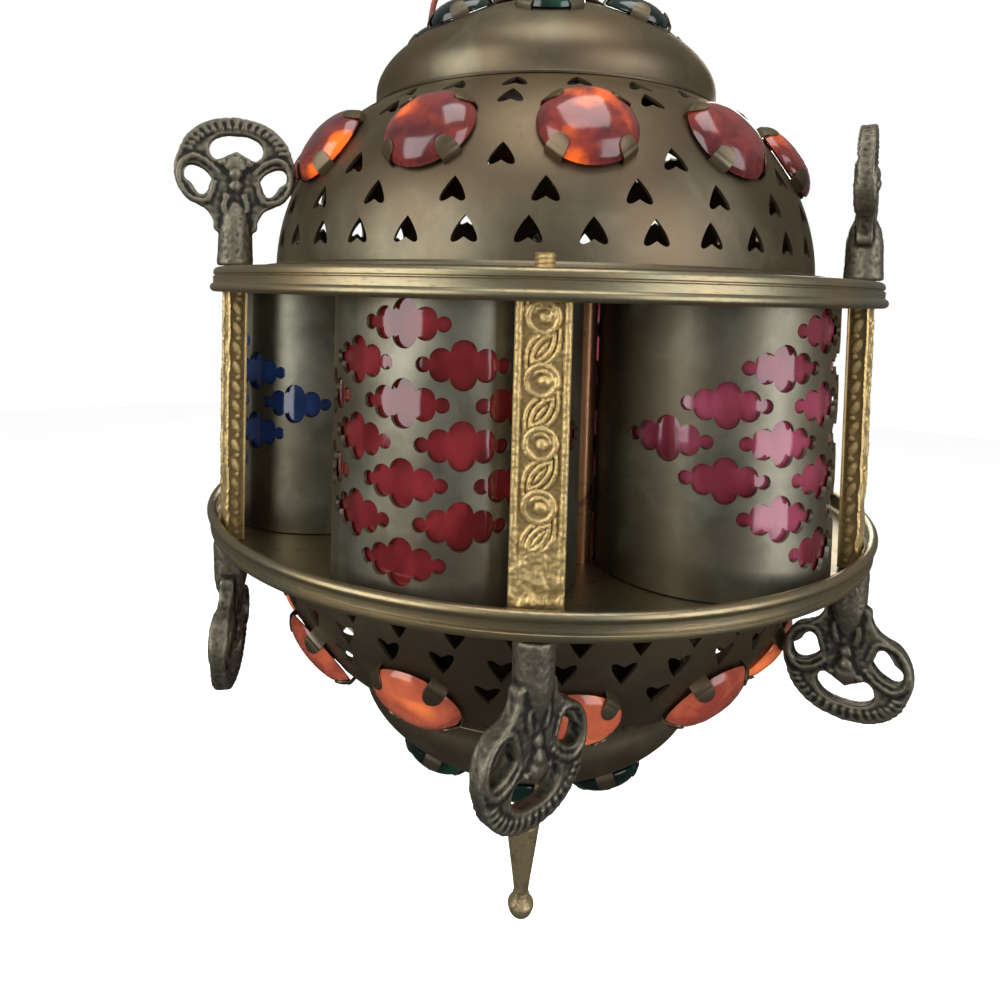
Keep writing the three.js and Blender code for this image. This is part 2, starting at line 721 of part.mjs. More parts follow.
const eyeOnCap = solid(eye.translate(0, 0, eyeCentre));
const neckBody = solid(turned(neckProfile, NECK_SIDES)).add(eyeOnCap).subtract(solid(wireHole));
const neckFoot = upperSeat + upperTierFoot + TIER_DEPTH + GAP;
const neck = new THREE.Group();
neck.position.z = neckFoot;
lantern.add(neck);
piece("neck", surface(neckBody), bronze, neck);

// Lampholder on a nipple below the cap, its mouth down
const nippleTop = capTop - CAP_LAND - GAP;
const holderTop = nippleTop - NIPPLE_LENGTH;
const holderProfile = [
  [0, nippleTop],
  [NIPPLE_RADIUS, nippleTop],
  [NIPPLE_RADIUS, holderTop],
  [0.8 * HOLDER_RADIUS, holderTop],
  [HOLDER_RADIUS, holderTop - 5],
  [HOLDER_RADIUS, holderTop - HOLDER_LENGTH],
  [HOLDER_RADIUS - HOLDER_WALL, holderTop - HOLDER_LENGTH],
  [HOLDER_RADIUS - HOLDER_WALL, holderTop - HOLDER_LENGTH + HOLDER_CUP],
  [0, holderTop - HOLDER_LENGTH + HOLDER_CUP],
];
piece("lampholder", turned(holderProfile, NECK_SIDES), porcelain, neck);

// Hanging ring, through the eye
const pivot = neckFoot + eyeCentre + EYE_RADIUS - EYE_WIRE - GAP - HANGING_RING_WIRE;
const ringCentre = pivot + HANGING_RING_RADIUS;
const hangHeight = ringCentre + HANGING_RING_RADIUS - HANGING_RING_WIRE;
const link = torus(HANGING_RING_RADIUS, HANGING_RING_WIRE, HANGING_RING_SIDES, WIRE_SIDES);
piece("hanging_ring", link.rotateX(Math.PI / 2).translate(0, 0, ringCentre), castBrass);

// Leads: each leaves the hole in the cap, arches over and hangs down behind the tier
function lead(points) {
  const section = outline(ellipse(0, 0, LEAD_RADIUS, LEAD_RADIUS, LEAD_SIDES));
  const path = new THREE.CatmullRomCurve3(points.map(([x, y, z]) => new THREE.Vector3(x, y, z)));
  return new THREE.ExtrudeGeometry(section, { steps: LEAD_STEPS, extrudePath: path, bevelEnabled: false });
}

const redRoute = [
  [-14, 3.6, 17],
  [-19, 4.4, 21],
  [-30, 7, 20],
  [-37, 10, 11],
  [-40, 15, 0],
  [-45, 24, -9],
  [-50, 33, -18],
  [-53, 39, -27],
];
const greyRoute = [
  [-12.6, 6, 17],
  [-16.5, 8.6, 20.5],
  [-23, 12, 20],
  [-27, 16, 12],
  [-30, 22, 1],
  [-34, 32, -6],
  [-38, 41, -15],
  [-41, 47, -25],
];
piece("red_lead", lead(redRoute), redLead, neck);
piece("grey_lead", lead(greyRoute), greyLead, neck);

lantern.position.z = -hangHeight;
const model = new THREE.Group();
model.add(lantern);
export default model;
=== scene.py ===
# %% [markdown]
# A hanging lantern of pierced sheet brass. Two tray rings and six cast posts make the cage, six half-round
# lobes of coloured glass stand in it behind pierced panels, and a jewelled dome with a stepped tier closes it
# above and below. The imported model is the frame: every piece made here lies where its solid lies.

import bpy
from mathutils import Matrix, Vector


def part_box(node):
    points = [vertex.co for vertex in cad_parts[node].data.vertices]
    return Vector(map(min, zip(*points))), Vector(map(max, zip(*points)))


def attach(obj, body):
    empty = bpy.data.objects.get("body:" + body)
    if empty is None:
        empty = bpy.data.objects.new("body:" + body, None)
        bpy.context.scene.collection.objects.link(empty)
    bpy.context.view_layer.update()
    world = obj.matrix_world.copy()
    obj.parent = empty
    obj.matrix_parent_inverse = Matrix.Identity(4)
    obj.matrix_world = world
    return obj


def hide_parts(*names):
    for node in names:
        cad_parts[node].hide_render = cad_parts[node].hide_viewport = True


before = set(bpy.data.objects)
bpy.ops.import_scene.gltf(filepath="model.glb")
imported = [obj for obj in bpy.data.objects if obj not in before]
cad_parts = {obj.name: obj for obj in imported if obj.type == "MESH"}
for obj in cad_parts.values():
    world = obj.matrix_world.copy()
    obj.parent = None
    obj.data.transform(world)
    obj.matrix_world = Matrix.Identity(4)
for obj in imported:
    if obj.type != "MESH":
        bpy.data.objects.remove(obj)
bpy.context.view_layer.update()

# %% [markdown]
# The script works in millimetres, as a maker's drawing does, and a mesh is brought to metres when it is made.
# Heights are measured from the middle of the cage, and bearings round the lantern from its front, -Y, towards
# +X. The driving sizes are read from the frame where it has them, so the pieces keep to the solids.

# %% Sizes from the frame
import math

import bmesh
import bpy
import numpy as np
from mathutils import Matrix, Vector, noise

MM = 0.001
TO_METRES = Matrix.Diagonal((MM, MM, MM, 1))
LANTERN = "lantern"


def height_of(node, top):
    """The lowest or highest height of a node, in mm."""
    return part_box(node)[1 if top else 0].z / MM


CAGE_MIDDLE = (height_of("upper_ring", True) + height_of("lower_ring", False)) / 2
HALF = (height_of("upper_ring", True) - height_of("lower_ring", False)) / 2
BODY_HALF = (height_of("panel_1", True) - height_of("panel_1", False)) / 2
SEAT = height_of("upper_dome", False) - CAGE_MIDDLE
SHOULDER_DROP = 1.2
UPPER_DEPTH = height_of("upper_dome", True) - height_of("upper_dome", False) + SHOULDER_DROP
LOWER_DEPTH = height_of("lower_dome", True) - height_of("lower_dome", False) + SHOULDER_DROP
print("cage middle", round(CAGE_MIDDLE, 2), "half", round(HALF, 2), "dome seat", round(SEAT, 2))
print("dome depths", round(UPPER_DEPTH, 2), round(LOWER_DEPTH, 2))

# %% [markdown]
# Nearly every piece is a mesh built from points, so a few helpers do that work once: one makes a mesh from
# points in millimetres, one turns a closed outline round the axis as a spinner does with sheet brass, and one
# sweeps a round section along a path as wire is bent. Smooth shading is split at edges that are sharp on the
# real piece. The last one puts a mesh in the scene and tells the frame which body carries it.

# %% Mesh helpers
def around(bearing, radius, height=0.0):
    """A point at a bearing in degrees, a distance from the lantern's axis and a height."""
    angle = math.radians(bearing)
    return Vector((radius * math.sin(angle), -radius * math.cos(angle), height))


def turns(count):
    """Angles in radians that share the full turn evenly."""
    return np.linspace(0, 2 * math.pi, count + 1)[:-1]


def shade(mesh, sharp=35.0):
    """Smooth shading, but for the edges that are sharper than this many degrees."""
    mesh.shade_smooth()
    mesh.set_sharp_from_angle(angle=math.radians(sharp))
    return mesh


def mesh_of(name, points, faces, sharp=35.0, merge=True):
    """A closed mesh, still in millimetres, its faces turned outwards and, with merge, its doubles merged."""
    mesh = bpy.data.meshes.new(name)
    mesh.from_pydata([tuple(p) for p in points], [], faces)
    work = bmesh.new()
    work.from_mesh(mesh)
    if merge:
        bmesh.ops.remove_doubles(work, verts=work.verts, dist=1e-3)
    bmesh.ops.recalc_face_normals(work, faces=work.faces)
    work.to_mesh(mesh)
    work.free()
    return shade(mesh, sharp)


def rings_joined(rings, close_ends=True, close_around=False):
    """Faces between rings of points of one length, as a loft. The rings' points are numbered in a row."""
    size = len(rings[0])
    faces = []
    last = len(rings) if close_around else len(rings) - 1
    for r in range(last):
        low = r * size
        high = ((r + 1) % len(rings)) * size
        for i in range(size):
            j = (i + 1) % size
            faces.append((low + i, low + j, high + j, high + i))
    if close_ends and not close_around:
        faces.append(tuple(range(size)))
        faces.append(tuple((len(rings) - 1) * size + i for i in range(size)))
    return faces


def loft(name, rings, sharp=35.0, close_around=False, merge=True):
    """A skin over rings of points."""
    points = [p for ring in rings for p in ring]
    return mesh_of(name, points, rings_joined(rings, close_around=close_around), sharp, merge)


def turned(name, outline, sides, turn=0.0, sharp=35.0):
    """A closed outline of (radius, height) points turned round the axis."""
    rings = []
    for s in range(sides):
        bearing = turn + 360 * s / sides
        rings.append([around(bearing, radius, height) for radius, height in outline])
    return loft(name, rings, sharp, close_around=True)


def arc(centre, radius, start, end, steps):
    """Points of an arc in a profile, angles in degrees from the outward direction."""
    found = []
    for i in range(steps + 1):
        angle = math.radians(start + (end - start) * i / steps)
        found.append((centre[0] + radius * math.cos(angle), centre[1] + radius * math.sin(angle)))
    return found


def curve_through(points, per_span):
    """A smooth curve through the points, with per_span steps between two of them."""
    places = [Vector(p) for p in points]
    padded = [2 * places[0] - places[1], *places, 2 * places[-1] - places[-2]]
    found = []
    for i in range(1, len(padded) - 2):
        a, b, c, d = padded[i - 1 : i + 3]
        for s in range(per_span):
            t = s / per_span
            bend = 2 * a - 5 * b + 4 * c - d
            twist = 3 * b - a - 3 * c + d
            found.append(0.5 * (2 * b + (c - a) * t + bend * t**2 + twist * t**3))
    found.append(places[-1])
    return found


def swept(name, path, radius, sides=12, flat=1.0, closed=False):
    """A section carried along a path. radius is a number, or a function of the share run."""
    count = len(path)
    side = None
    rings = []
    for i, point in enumerate(path):
        before = path[i - 1] if i or closed else path[0]
        after = path[(i + 1) % count] if i < count - 1 or closed else path[-1]
        ahead = (after - before).normalized()
        if side is None:
            side = ahead.orthogonal().normalized()
            if abs(ahead.y) < 0.9:
                side = Vector((0, 1, 0))
        side = (side - ahead * side.dot(ahead)).normalized()
        across = ahead.cross(side)
        wide = radius(i / (count - 1)) if callable(radius) else radius
        ring = []
        for s in range(sides):
            angle = 2 * math.pi * s / sides
            ring.append(point + side * (flat * wide * math.cos(angle)) + across * (wide * math.sin(angle)))
        rings.append(ring)
    return loft(name, rings, 60.0, close_around=closed)


def ball(name, centre, radii, rings=10, sides=16):
    """A rounded lump."""
    found = []
    for r in range(rings + 1):
        lift = math.pi * (r / rings - 0.5)
        wide = max(math.cos(lift), 1e-4)
        ring = []
        for s in range(sides):
            angle = 2 * math.pi * s / sides
            way = (wide * math.cos(angle), wide * math.sin(angle), math.sin(lift))
            ring.append(Vector([c + reach * w for c, reach, w in zip(centre, radii, way)]))
        found.append(ring)
    return loft(name, found, 60.0)


def joined(name, *meshes):
    """Several meshes as one."""
    work = bmesh.new()
    for mesh in meshes:
        work.from_mesh(mesh)
    whole = bpy.data.meshes.new(name)
    work.to_mesh(whole)
    work.free()
    return whole


def written(mesh, name, values):
    """Keeps one value for each point of a mesh, for its finish to read."""
    mesh.attributes.new(name, "FLOAT", "POINT").data.foreach_set("value", values)
    return mesh


def placed(name, data):
    """A new object in the scene, for a mesh, a curve, a lamp or a camera."""
    made = bpy.data.objects.new(name, data)
    bpy.context.scene.collection.objects.link(made)
    return made


def evaluated(carrier):
    """The mesh of an object with its modifiers applied. The object is taken away."""
    graph = bpy.context.evaluated_depsgraph_get()
    mesh = bpy.data.meshes.new_from_object(carrier.evaluated_get(graph), depsgraph=graph)
    carrier.modifiers.clear()
    bpy.data.objects.remove(carrier)
    return mesh


def keep(name, mesh, slot, looks, *nodes, body=LANTERN, place=Matrix.Identity(4), level=None):
    """Puts a mesh in the scene in metres, with its finish, and lets it ride on a body in place of nodes."""
    lift = CAGE_MIDDLE if level is None else level
    made = mesh.copy()
    made.transform(TO_METRES @ Matrix.Translation((0, 0, lift)) @ place)
    piece = placed(name, made)
    made.materials.clear()
    for look in looks if isinstance(looks, (list, tuple)) else [looks]:
        made.materials.append(look)
    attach(piece, body)
    if nodes:
        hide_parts(*nodes)
    return piece


# %% [markdown]
# The camera stands in front of the lantern and almost level with the top of the cage, as the photograph was
# taken: near, with a wide lens, and cropped, which is a shift of the lens here.

# %% Camera
CAMERA_PLACE = Vector((-0.0034, -0.246, -0.1450))
CAMERA_YAW = 3.56
CAMERA_DIP = 2.09
CAMERA_ROLL = 1.46
LENS = 27
SENSOR = 36
LENS_SHIFT = (0.02, -0.18)

camera_data = bpy.data.cameras.new("camera")
camera_data.lens = LENS
camera_data.sensor_width = SENSOR
camera_data.shift_x, camera_data.shift_y = LENS_SHIFT
camera_data.clip_start = 0.01
camera_data.clip_end = 20
camera = placed("camera", camera_data)
camera.matrix_world = (
    Matrix.Translation(CAMERA_PLACE)
    @ Matrix.Rotation(math.radians(CAMERA_YAW), 4, "Z")
    @ Matrix.Rotation(math.radians(90 - CAMERA_DIP), 4, "X")
    @ Matrix.Rotation(math.radians(CAMERA_ROLL), 4, "Z")
)
bpy.context.scene.camera = camera
print("camera at", [round(x, 4) for x in camera.location])

# %% [markdown]
# A finish is a tree of shader nodes. Written as nodes and links it is long and hard to read, so a socket is
# wrapped in a small class whose operators add the Math nodes, and a finish reads as a sum of masks.

# %% Expressions on sockets
class Signal:
    """A socket that can stand in an expression. Each operator adds one Math node."""

    def __init__(self, graph, socket):
        self.graph = graph
        self.socket = socket

    def __add__(self, other):
        return self.graph.math("ADD", self, other)

    def __radd__(self, other):
        return self.graph.math("ADD", other, self)

    def __sub__(self, other):
        return self.graph.math("SUBTRACT", self, other)

    def __rsub__(self, other):
        return self.graph.math("SUBTRACT", other, self)

    def __mul__(self, other):
        return self.graph.math("MULTIPLY", self, other)

    def __rmul__(self, other):
        return self.graph.math("MULTIPLY", other, self)

    def __truediv__(self, other):
        return self.graph.math("DIVIDE", self, other)


class Graph:
    """A shader tree or a geometry tree, with one method for every node."""

    def __init__(self, tree):
        self.tree = tree

    def node(self, kind, settings=None, values=None):
        """Adds a node: its settings are set first, then the values or links of its sockets."""
        made = self.tree.nodes.new(kind)
        for name, value in (settings or {}).items():
            if name == "stops":
                ramp = made.color_ramp
                while len(ramp.elements) < len(value):
                    ramp.elements.new(1.0)
                for element, (place, colour) in zip(ramp.elements, value):
                    element.position = place
                    element.color = colour
            else:
                setattr(made, name, value)
        for name, value in (values or {}).items():
            self.feed(made.inputs[name], value)
        return made

    def feed(self, socket, value):
        """Links a signal to a socket, or gives the socket a constant."""
        if isinstance(value, Signal):
            self.tree.links.new(value.socket, socket)
        else:
            socket.default_value = value

    def signal(self, kind, output, settings=None, values=None):
        return Signal(self, self.node(kind, settings, values).outputs[output])

    def math(self, operation, *inputs):
        values = {i: value for i, value in enumerate(inputs)}
        return self.signal("ShaderNodeMath", 0, {"operation": operation}, values)


class Finish(Graph):
    """The tree of one material."""

    def __init__(self, name, **constants):
        self.material = bpy.data.materials.new(name)
        self.material.use_nodes = True
        super().__init__(self.material.node_tree)
        self.tree.nodes.clear()
        values = {label.replace("_", " ").title(): value for label, value in constants.items()}
        values = {label.replace("Ior", "IOR"): value for label, value in values.items()}
        self.shader = self.node("ShaderNodeBsdfPrincipled", values=values)
        end = self.node("ShaderNodeOutputMaterial")
        self.tree.links.new(self.shader.outputs[0], end.inputs["Surface"])
        self.place = self.signal("ShaderNodeTexCoord", "Object")

    def noise(self, size, detail=4.0, roughness=0.55, distortion=0.0, place=None):
        """Cloudy noise whose blots are about size mm across."""
        values = {
            "Vector": place or self.place,
            "Scale": 1 / (size * MM),
            "Detail": detail,
            "Roughness": roughness,
            "Distortion": distortion,
        }
        return self.signal("ShaderNodeTexNoise", 0, values=values)

    def stretched(self, scale):
        """Object coordinates stretched along the axes, for brushed or drawn marks."""
        return self.signal("ShaderNodeMapping", 0, values={"Vector": self.place, "Scale": scale})

    def between(self, value, low, high):
        """0 below low, 1 above high, and smooth between."""
        values = {"Value": value, "From Min": low, "From Max": high}
        return self.signal("ShaderNodeMapRange", 0, {"interpolation_type": "SMOOTHSTEP"}, values)

    def mix(self, mask, low, high):
        """A colour between two colours."""
        full = [(*c, 1.0) if isinstance(c, tuple) and len(c) == 3 else c for c in (low, high)]
        return self.signal("ShaderNodeMix", 2, {"data_type": "RGBA"}, {0: mask, 6: full[0], 7: full[1]})

    def attribute(self, name):
        """The value that the mesh keeps for each of its points."""
        return self.signal("ShaderNodeAttribute", "Fac", {"attribute_name": name})

    def bump(self, height, depth, strength=1.0, normal=None):
        """Raises the surface by height times depth, in mm."""
        values = {"Height": height, "Distance": depth * MM, "Strength": strength}
        if normal is not None:
            values["Normal"] = normal
        return self.signal("ShaderNodeBump", 0, values=values)

    def set(self, **signals):
        """Feeds the shader, and gives the finished material."""
        for label, value in signals.items():
            self.feed(self.shader.inputs[label.replace("_", " ").title()], value)
        return self.material


# %% [markdown]
# The sheet brass is dark with age: an olive brown with a grey-green sheen, warm brown where hands and heat
# have worn it, and golden where the patina is thin. Three sizes of noise mixed by masks give that; a single
# brown with a bump would look like painted plastic. The panels are paler and cleaner than the domes. Where a
# piercing was sawn the edge shows clean metal.

# %% Sheet metal finishes
def aged_sheet(name, brown, olive, clean):
    finish = Finish(name, metallic=0.94, specular_tint=(1.0, 0.9, 0.7, 1.0))
    broad = finish.noise(42, 2, 0.5, 0.3)
    middle = finish.noise(9, 5, 0.6, 0.6)
    fine = finish.noise(1.6, 4, 0.65)
    green = finish.between(broad, 0.38, 0.66)
    worn = finish.between(broad * 0.7 + middle * 0.4, 0.50, 0.74)
    spots = finish.between(fine, 0.62, 0.74)
    colour = finish.mix(green, brown, olive)
    colour = finish.mix(worn * 0.6, colour, clean)
    colour = finish.mix(spots * 0.35, colour, (0.115, 0.082, 0.052))
    rough = 0.36 + middle * 0.16 + spots * 0.10 - worn * 0.04
    bump = finish.bump(broad * 1.1 + middle * 0.26 + fine * 0.03, 0.85, 0.35)
    return finish.set(base_color=colour, roughness=rough, normal=bump)


def sawn_edge():
    finish = Finish("sawn_edge", metallic=0.95)
    grain = finish.noise(0.8, 3)
    colour = finish.mix(grain, (0.30, 0.235, 0.13), (0.62, 0.51, 0.30))
    return finish.set(base_color=colour, roughness=0.28 + grain * 0.2)


def ring_brass():
    finish = Finish("ring_brass", metallic=0.95)
    drawn = finish.noise(2.4, 5, 0.6, place=finish.stretched((1.0, 1.0, 6.0)))
    broad = finish.noise(26, 4, 0.55, 0.5)
    green = finish.between(broad, 0.4, 0.65)
    dark = finish.between(drawn, 0.56, 0.72)
    colour = finish.mix(green, (0.33, 0.255, 0.140), (0.255, 0.235, 0.150))
    colour = finish.mix(dark * 0.6, colour, (0.10, 0.078, 0.046))
    return finish.set(
        base_color=colour,
        roughness=0.26 + drawn * 0.2,
        normal=finish.bump(broad * 0.8 + drawn * 0.2, 0.5, 0.3),
    )


AGED_SHEET = aged_sheet("aged_sheet", (0.150, 0.112, 0.070), (0.132, 0.122, 0.084), (0.26, 0.215, 0.14))
PANEL_SHEET = aged_sheet("panel_sheet", (0.165, 0.138, 0.094), (0.150, 0.154, 0.116), (0.36, 0.34, 0.26))
SAWN_EDGE = sawn_edge()
RING_BRASS = ring_brass()
print("sheet finishes:", AGED_SHEET.name, SAWN_EDGE.name, RING_BRASS.name)

# %% [markdown]
# The cast pieces are brighter. The posts are yellow brass, painted darker in the sunk ground as painted
# shade, which follows an attribute that the carving writes; the key finials are a dark cast metal, with
# painted brassy highlights where it stands out and painted shade in its hollows.

# %% Cast and drawn metal finishes
def cast_brass(name, high, low, attribute=None):
    finish = Finish(name, metallic=0.92)
    fine = finish.noise(0.7, 4, 0.7)
    middle = finish.noise(4.5, 5, 0.6, 0.5)
    pits = finish.between(finish.noise(0.45, 2), 0.62, 0.78)
    # Where an attribute is given, low parts take the low colour as painted shade and raised parts the high
    # colour; on the keys that high colour is a painted highlight.
    height = finish.attribute(attribute) if attribute else finish.between(middle, 0.3, 0.6)
    clean = finish.between(height + middle * 0.35 - 0.2, 0.12, 0.62)
    colour = finish.mix(clean, low, high)
    colour = finish.mix(pits * 0.7, colour, tuple(0.35 * c for c in low))
    colour = finish.mix(finish.between(middle, 0.55, 0.75) * 0.4, colour, tuple(0.5 * c for c in high))
    rough = 0.62 - clean * 0.24 + fine * 0.16
    bump = finish.bump(fine * 0.6 + middle * 0.6 - pits * 0.7, 0.28, 0.6)
    return finish.set(base_color=colour, roughness=rough, normal=bump)


def copper():
    finish = Finish("copper_rod", metallic=0.95)
    drawn = finish.noise(1.4, 4, place=finish.stretched((1.0, 1.0, 0.12)))
    oxide = finish.between(finish.noise(11, 4, 0.6, 0.8), 0.5, 0.66)
    colour = finish.mix(drawn, (0.50, 0.235, 0.115), (0.72, 0.40, 0.22))
    colour = finish.mix(oxide * 0.75, colour, (0.10, 0.052, 0.032))
    return finish.set(base_color=colour, roughness=0.24 + drawn * 0.22 + oxide * 0.1)


# On the posts the relief attribute paints the sunk ground darker: painted shade.
POST_BRASS = cast_brass("post_brass", (0.60, 0.445, 0.195), (0.27, 0.190, 0.080), "relief")
FINIAL_BRASS = cast_brass("finial_brass", (0.42, 0.335, 0.185), (0.20, 0.155, 0.085))
# On the keys the attribute named worn is how far a point stands out: painted brassy highlights on raised
# points and painted shade in the hollows.
KEY_METAL = cast_brass("key_metal", (0.185, 0.168, 0.122), (0.034, 0.032, 0.028), "worn")
LINK_BRASS = cast_brass("link_brass", (0.56, 0.44, 0.23), (0.12, 0.09, 0.045))
COPPER = copper()
print("cast finishes:", POST_BRASS.name, KEY_METAL.name)

# %% [markdown]
# The glass is coloured through. The panes are thin, so they take much of their colour from what stands behind
# them, and a clear coat gives the tall pale reflections. The red of some is nearer to rose. The jewels are
# thick and cast, with darker streaks, and with bright patches painted in and given emission: a painted glow
# that stands in for light coming through them. Those below are paler, with less of that painted glow.

# %% Glass finishes
def pane_glass(name, deep, pale):
    finish = Finish(name, ior=1.5, transmission_weight=0.45, coat_weight=0.4, coat_roughness=0.06)
    streak = finish.noise(9, 3, 0.5, 0.6, place=finish.stretched((1.0, 1.0, 0.3)))
    cloud = finish.noise(24, 3)
    colour = finish.mix(finish.between(streak * 0.6 + cloud * 0.5, 0.42, 0.7), deep, pale)
    ripple = finish.bump(cloud + streak * 0.25, 0.9, 0.4)
    return finish.set(base_color=colour, roughness=0.05 + streak * 0.06, normal=ripple)


def jewel_glass(name, deep, middle, glow_colour, glow):
    body = {"ior": 1.5, "transmission_weight": 0.2, "emission_strength": glow}
    finish = Finish(name, **body, coat_weight=0.35, coat_roughness=0.10)
    cloud = finish.noise(17, 1, 0.5, 0.5)
    streak = finish.noise(5, 3, 0.5, 0.9)
    # Painted light: this mask picks patches that take the bright colour, in the base colour and as emission,
    # a painted glow for light coming through the glass.
    glow_mask = finish.between(cloud * 0.9 + streak * 0.1, 0.55, 0.68)
    shadow = finish.between(streak * 0.35 + cloud * 0.65, 0.36, 0.58)
    colour = finish.mix(shadow, deep, middle)
    colour = finish.mix(glow_mask, colour, glow_colour)
    return finish.set(
        base_color=colour,
        emission_color=finish.mix(glow_mask, (0.0, 0.0, 0.0), glow_colour),
        roughness=0.12 + streak * 0.10,
        normal=finish.bump(cloud * 1.2 + streak * 0.15, 0.7, 0.3),
    )


RED_GLASS = pane_glass("red_glass", (0.10, 0.006, 0.007), (0.24, 0.022, 0.026))
ROSE_GLASS = pane_glass("rose_glass", (0.13, 0.012, 0.022), (0.34, 0.062, 0.105))
BLUE_GLASS = pane_glass("blue_glass", (0.006, 0.018, 0.075), (0.02, 0.06, 0.20))
AMBER_GLASS = jewel_glass(
    "amber_glass", (0.070, 0.012, 0.014), (0.19, 0.026, 0.018), (0.85, 0.13, 0.008), 0.36
)
CORAL_GLASS = jewel_glass(
    "coral_glass", (0.20, 0.034, 0.020), (0.38, 0.080, 0.036), (0.66, 0.15, 0.040), 0.08
)
GREEN_GLASS = jewel_glass(
    "green_glass", (0.001, 0.005, 0.004), (0.002, 0.012, 0.009), (0.004, 0.035, 0.020), 0.02
)
print("glass finishes:", RED_GLASS.name, BLUE_GLASS.name, AMBER_GLASS.name, GREEN_GLASS.name)

# %% [markdown]
# Inside, the lampholder is glazed porcelain, and the two leads have a dull insulation whose colour has faded
# unevenly, with bare copper strands at the ends.

# %% Fittings' finishes
def porcelain():
    finish = Finish("porcelain", coat_weight=0.4, coat_roughness=0.15)
    cloud = finish.noise(7, 4)
    dust = finish.between(finish.noise(2, 4), 0.5, 0.8)
    colour = finish.mix(cloud, (0.62, 0.57, 0.49), (0.80, 0.77, 0.70))
    colour = finish.mix(dust * 0.4, colour, (0.36, 0.31, 0.25))
    return finish.set(base_color=colour, roughness=0.3 + dust * 0.2)


def insulation(name, pale, deep):
    finish = Finish(name)
    faded = finish.noise(6, 4)
    scuff = finish.noise(0.5, 3)
    colour = finish.mix(finish.between(faded, 0.35, 0.65), deep, pale)
    return finish.set(base_color=colour, roughness=0.45 + scuff * 0.25, normal=finish.bump(scuff, 0.08, 0.5))


PORCELAIN = porcelain()
RED_LEAD = insulation("red_insulation", (0.22, 0.045, 0.030), (0.10, 0.018, 0.014))
GREY_LEAD = insulation("grey_insulation", (0.26, 0.255, 0.245), (0.13, 0.125, 0.12))
print("fittings' finishes:", PORCELAIN.name, RED_LEAD.name, GREY_LEAD.name)

# %% [markdown]
# Two short leads leave the hole at the back of the neck, arch over in the air and hang down behind the tier.
# Each is a tube along the same points as its solid, with a few millimetres of bare strands where it was
# stripped.

# %% Leads
NECK_FOOT = height_of("neck", False) - CAGE_MIDDLE
LEAD_RADIUS = 1.0
STRIPPED = 5.0
STRANDS = 5
STRAND_RADIUS = 0.22
STRAND_OFFSET = 0.42
RED_ROUTE = [
    (-14, 3.6, 17),
    (-19, 4.4, 21),
    (-30, 7, 20),
    (-37, 10, 11),
    (-40, 15, 0),
    (-45, 24, -9),
    (-50, 33, -18),
    (-53, 39, -27),
]
GREY_ROUTE = [
    (-12.6, 6, 17),
    (-16.5, 8.6, 20.5),
    (-23, 12, 20),
    (-27, 16, 12),
    (-30, 22, 1),
    (-34, 32, -6),
    (-38, 41, -15),
    (-41, 47, -25),
]


def lead(name, node, route, slot, look):
    path = [p + Vector((0, 0, NECK_FOOT)) for p in curve_through(route, 5)]
    run = sum((b - a).length for a, b in zip(path, path[1:]))
    ahead = (path[-1] - path[-2]).normalized()
    strands = []
    for turn in range(STRANDS):
        aside = Matrix.Rotation(2 * math.pi * turn / STRANDS, 3, ahead) @ ahead.orthogonal().normalized()
        off = aside * STRAND_OFFSET
        tip = [path[-1] + off * (1 + 0.5 * s) + ahead * (STRIPPED * s - 0.8) for s in (0.0, 0.4, 0.7, 0.9)]
        strands.append(swept(f"{name}_strand", tip, STRAND_RADIUS, 6))
    bare = keep(f"{name}_strands", joined("strands", *strands), slot, COPPER)
    piece = keep(name, swept(name, path, LEAD_RADIUS, 14), slot, look, node)
    points = [(p + Vector((0, 0, CAGE_MIDDLE))) * MM for p in path]
    print(name, "is", round(run, 1), "mm long")


lead("red_lead_wire", "red_lead", RED_ROUTE, "red_lead", RED_LEAD)
lead("grey_lead_wire", "grey_lead", GREY_ROUTE, "grey_lead", GREY_LEAD)

# %% [markdown]
# The tray rings are spun from sheet: a flat tray, an upright band with one line turned into it, and an edge
# rolled over a wire. One closed outline turned round the axis gives all of it. Six copper rods stand in the
# valleys between the lobes.

# %% Tray rings and valley rods
RING_RADIUS = 100.0
BAND_WALL = 1.2
BAND_HEIGHT = 6.8
TRAY = 1.0
TRAY_OPENING = 50.0
BEAD_RADIUS = 1.25
ROD_RADIUS = 2.8
ROD_CENTRE = 54.6
SPUN_SIDES = 144
LOBE_BEARINGS = [-17.4 + 60 * i for i in range(6)]
VALLEY_BEARINGS = [12.6 + 60 * i for i in range(6)]


def tray_outline():
    edge = HALF - BAND_HEIGHT
    wall = RING_RADIUS - BAND_WALL
    roll = (RING_RADIUS - 0.35, edge + BEAD_RADIUS)
    return [
        (TRAY_OPENING, HALF),
        (TRAY_OPENING, HALF - TRAY),
        (wall - 0.8, HALF - TRAY),
        (wall, HALF - TRAY - 0.8),
        (wall, edge + BEAD_RADIUS),
        *arc(roll, BEAD_RADIUS, 200, 430, 12),
        (RING_RADIUS, edge + 2.75),
        (RING_RADIUS + 0.1, HALF - 2.6),
        (RING_RADIUS - 0.35, HALF - 2.3),
        (RING_RADIUS - 0.35, HALF - 2.1),
        (RING_RADIUS, HALF - 1.8),
        *arc((RING_RADIUS - 1.3, HALF - 1.3), 1.3, 0, 90, 6),
    ]


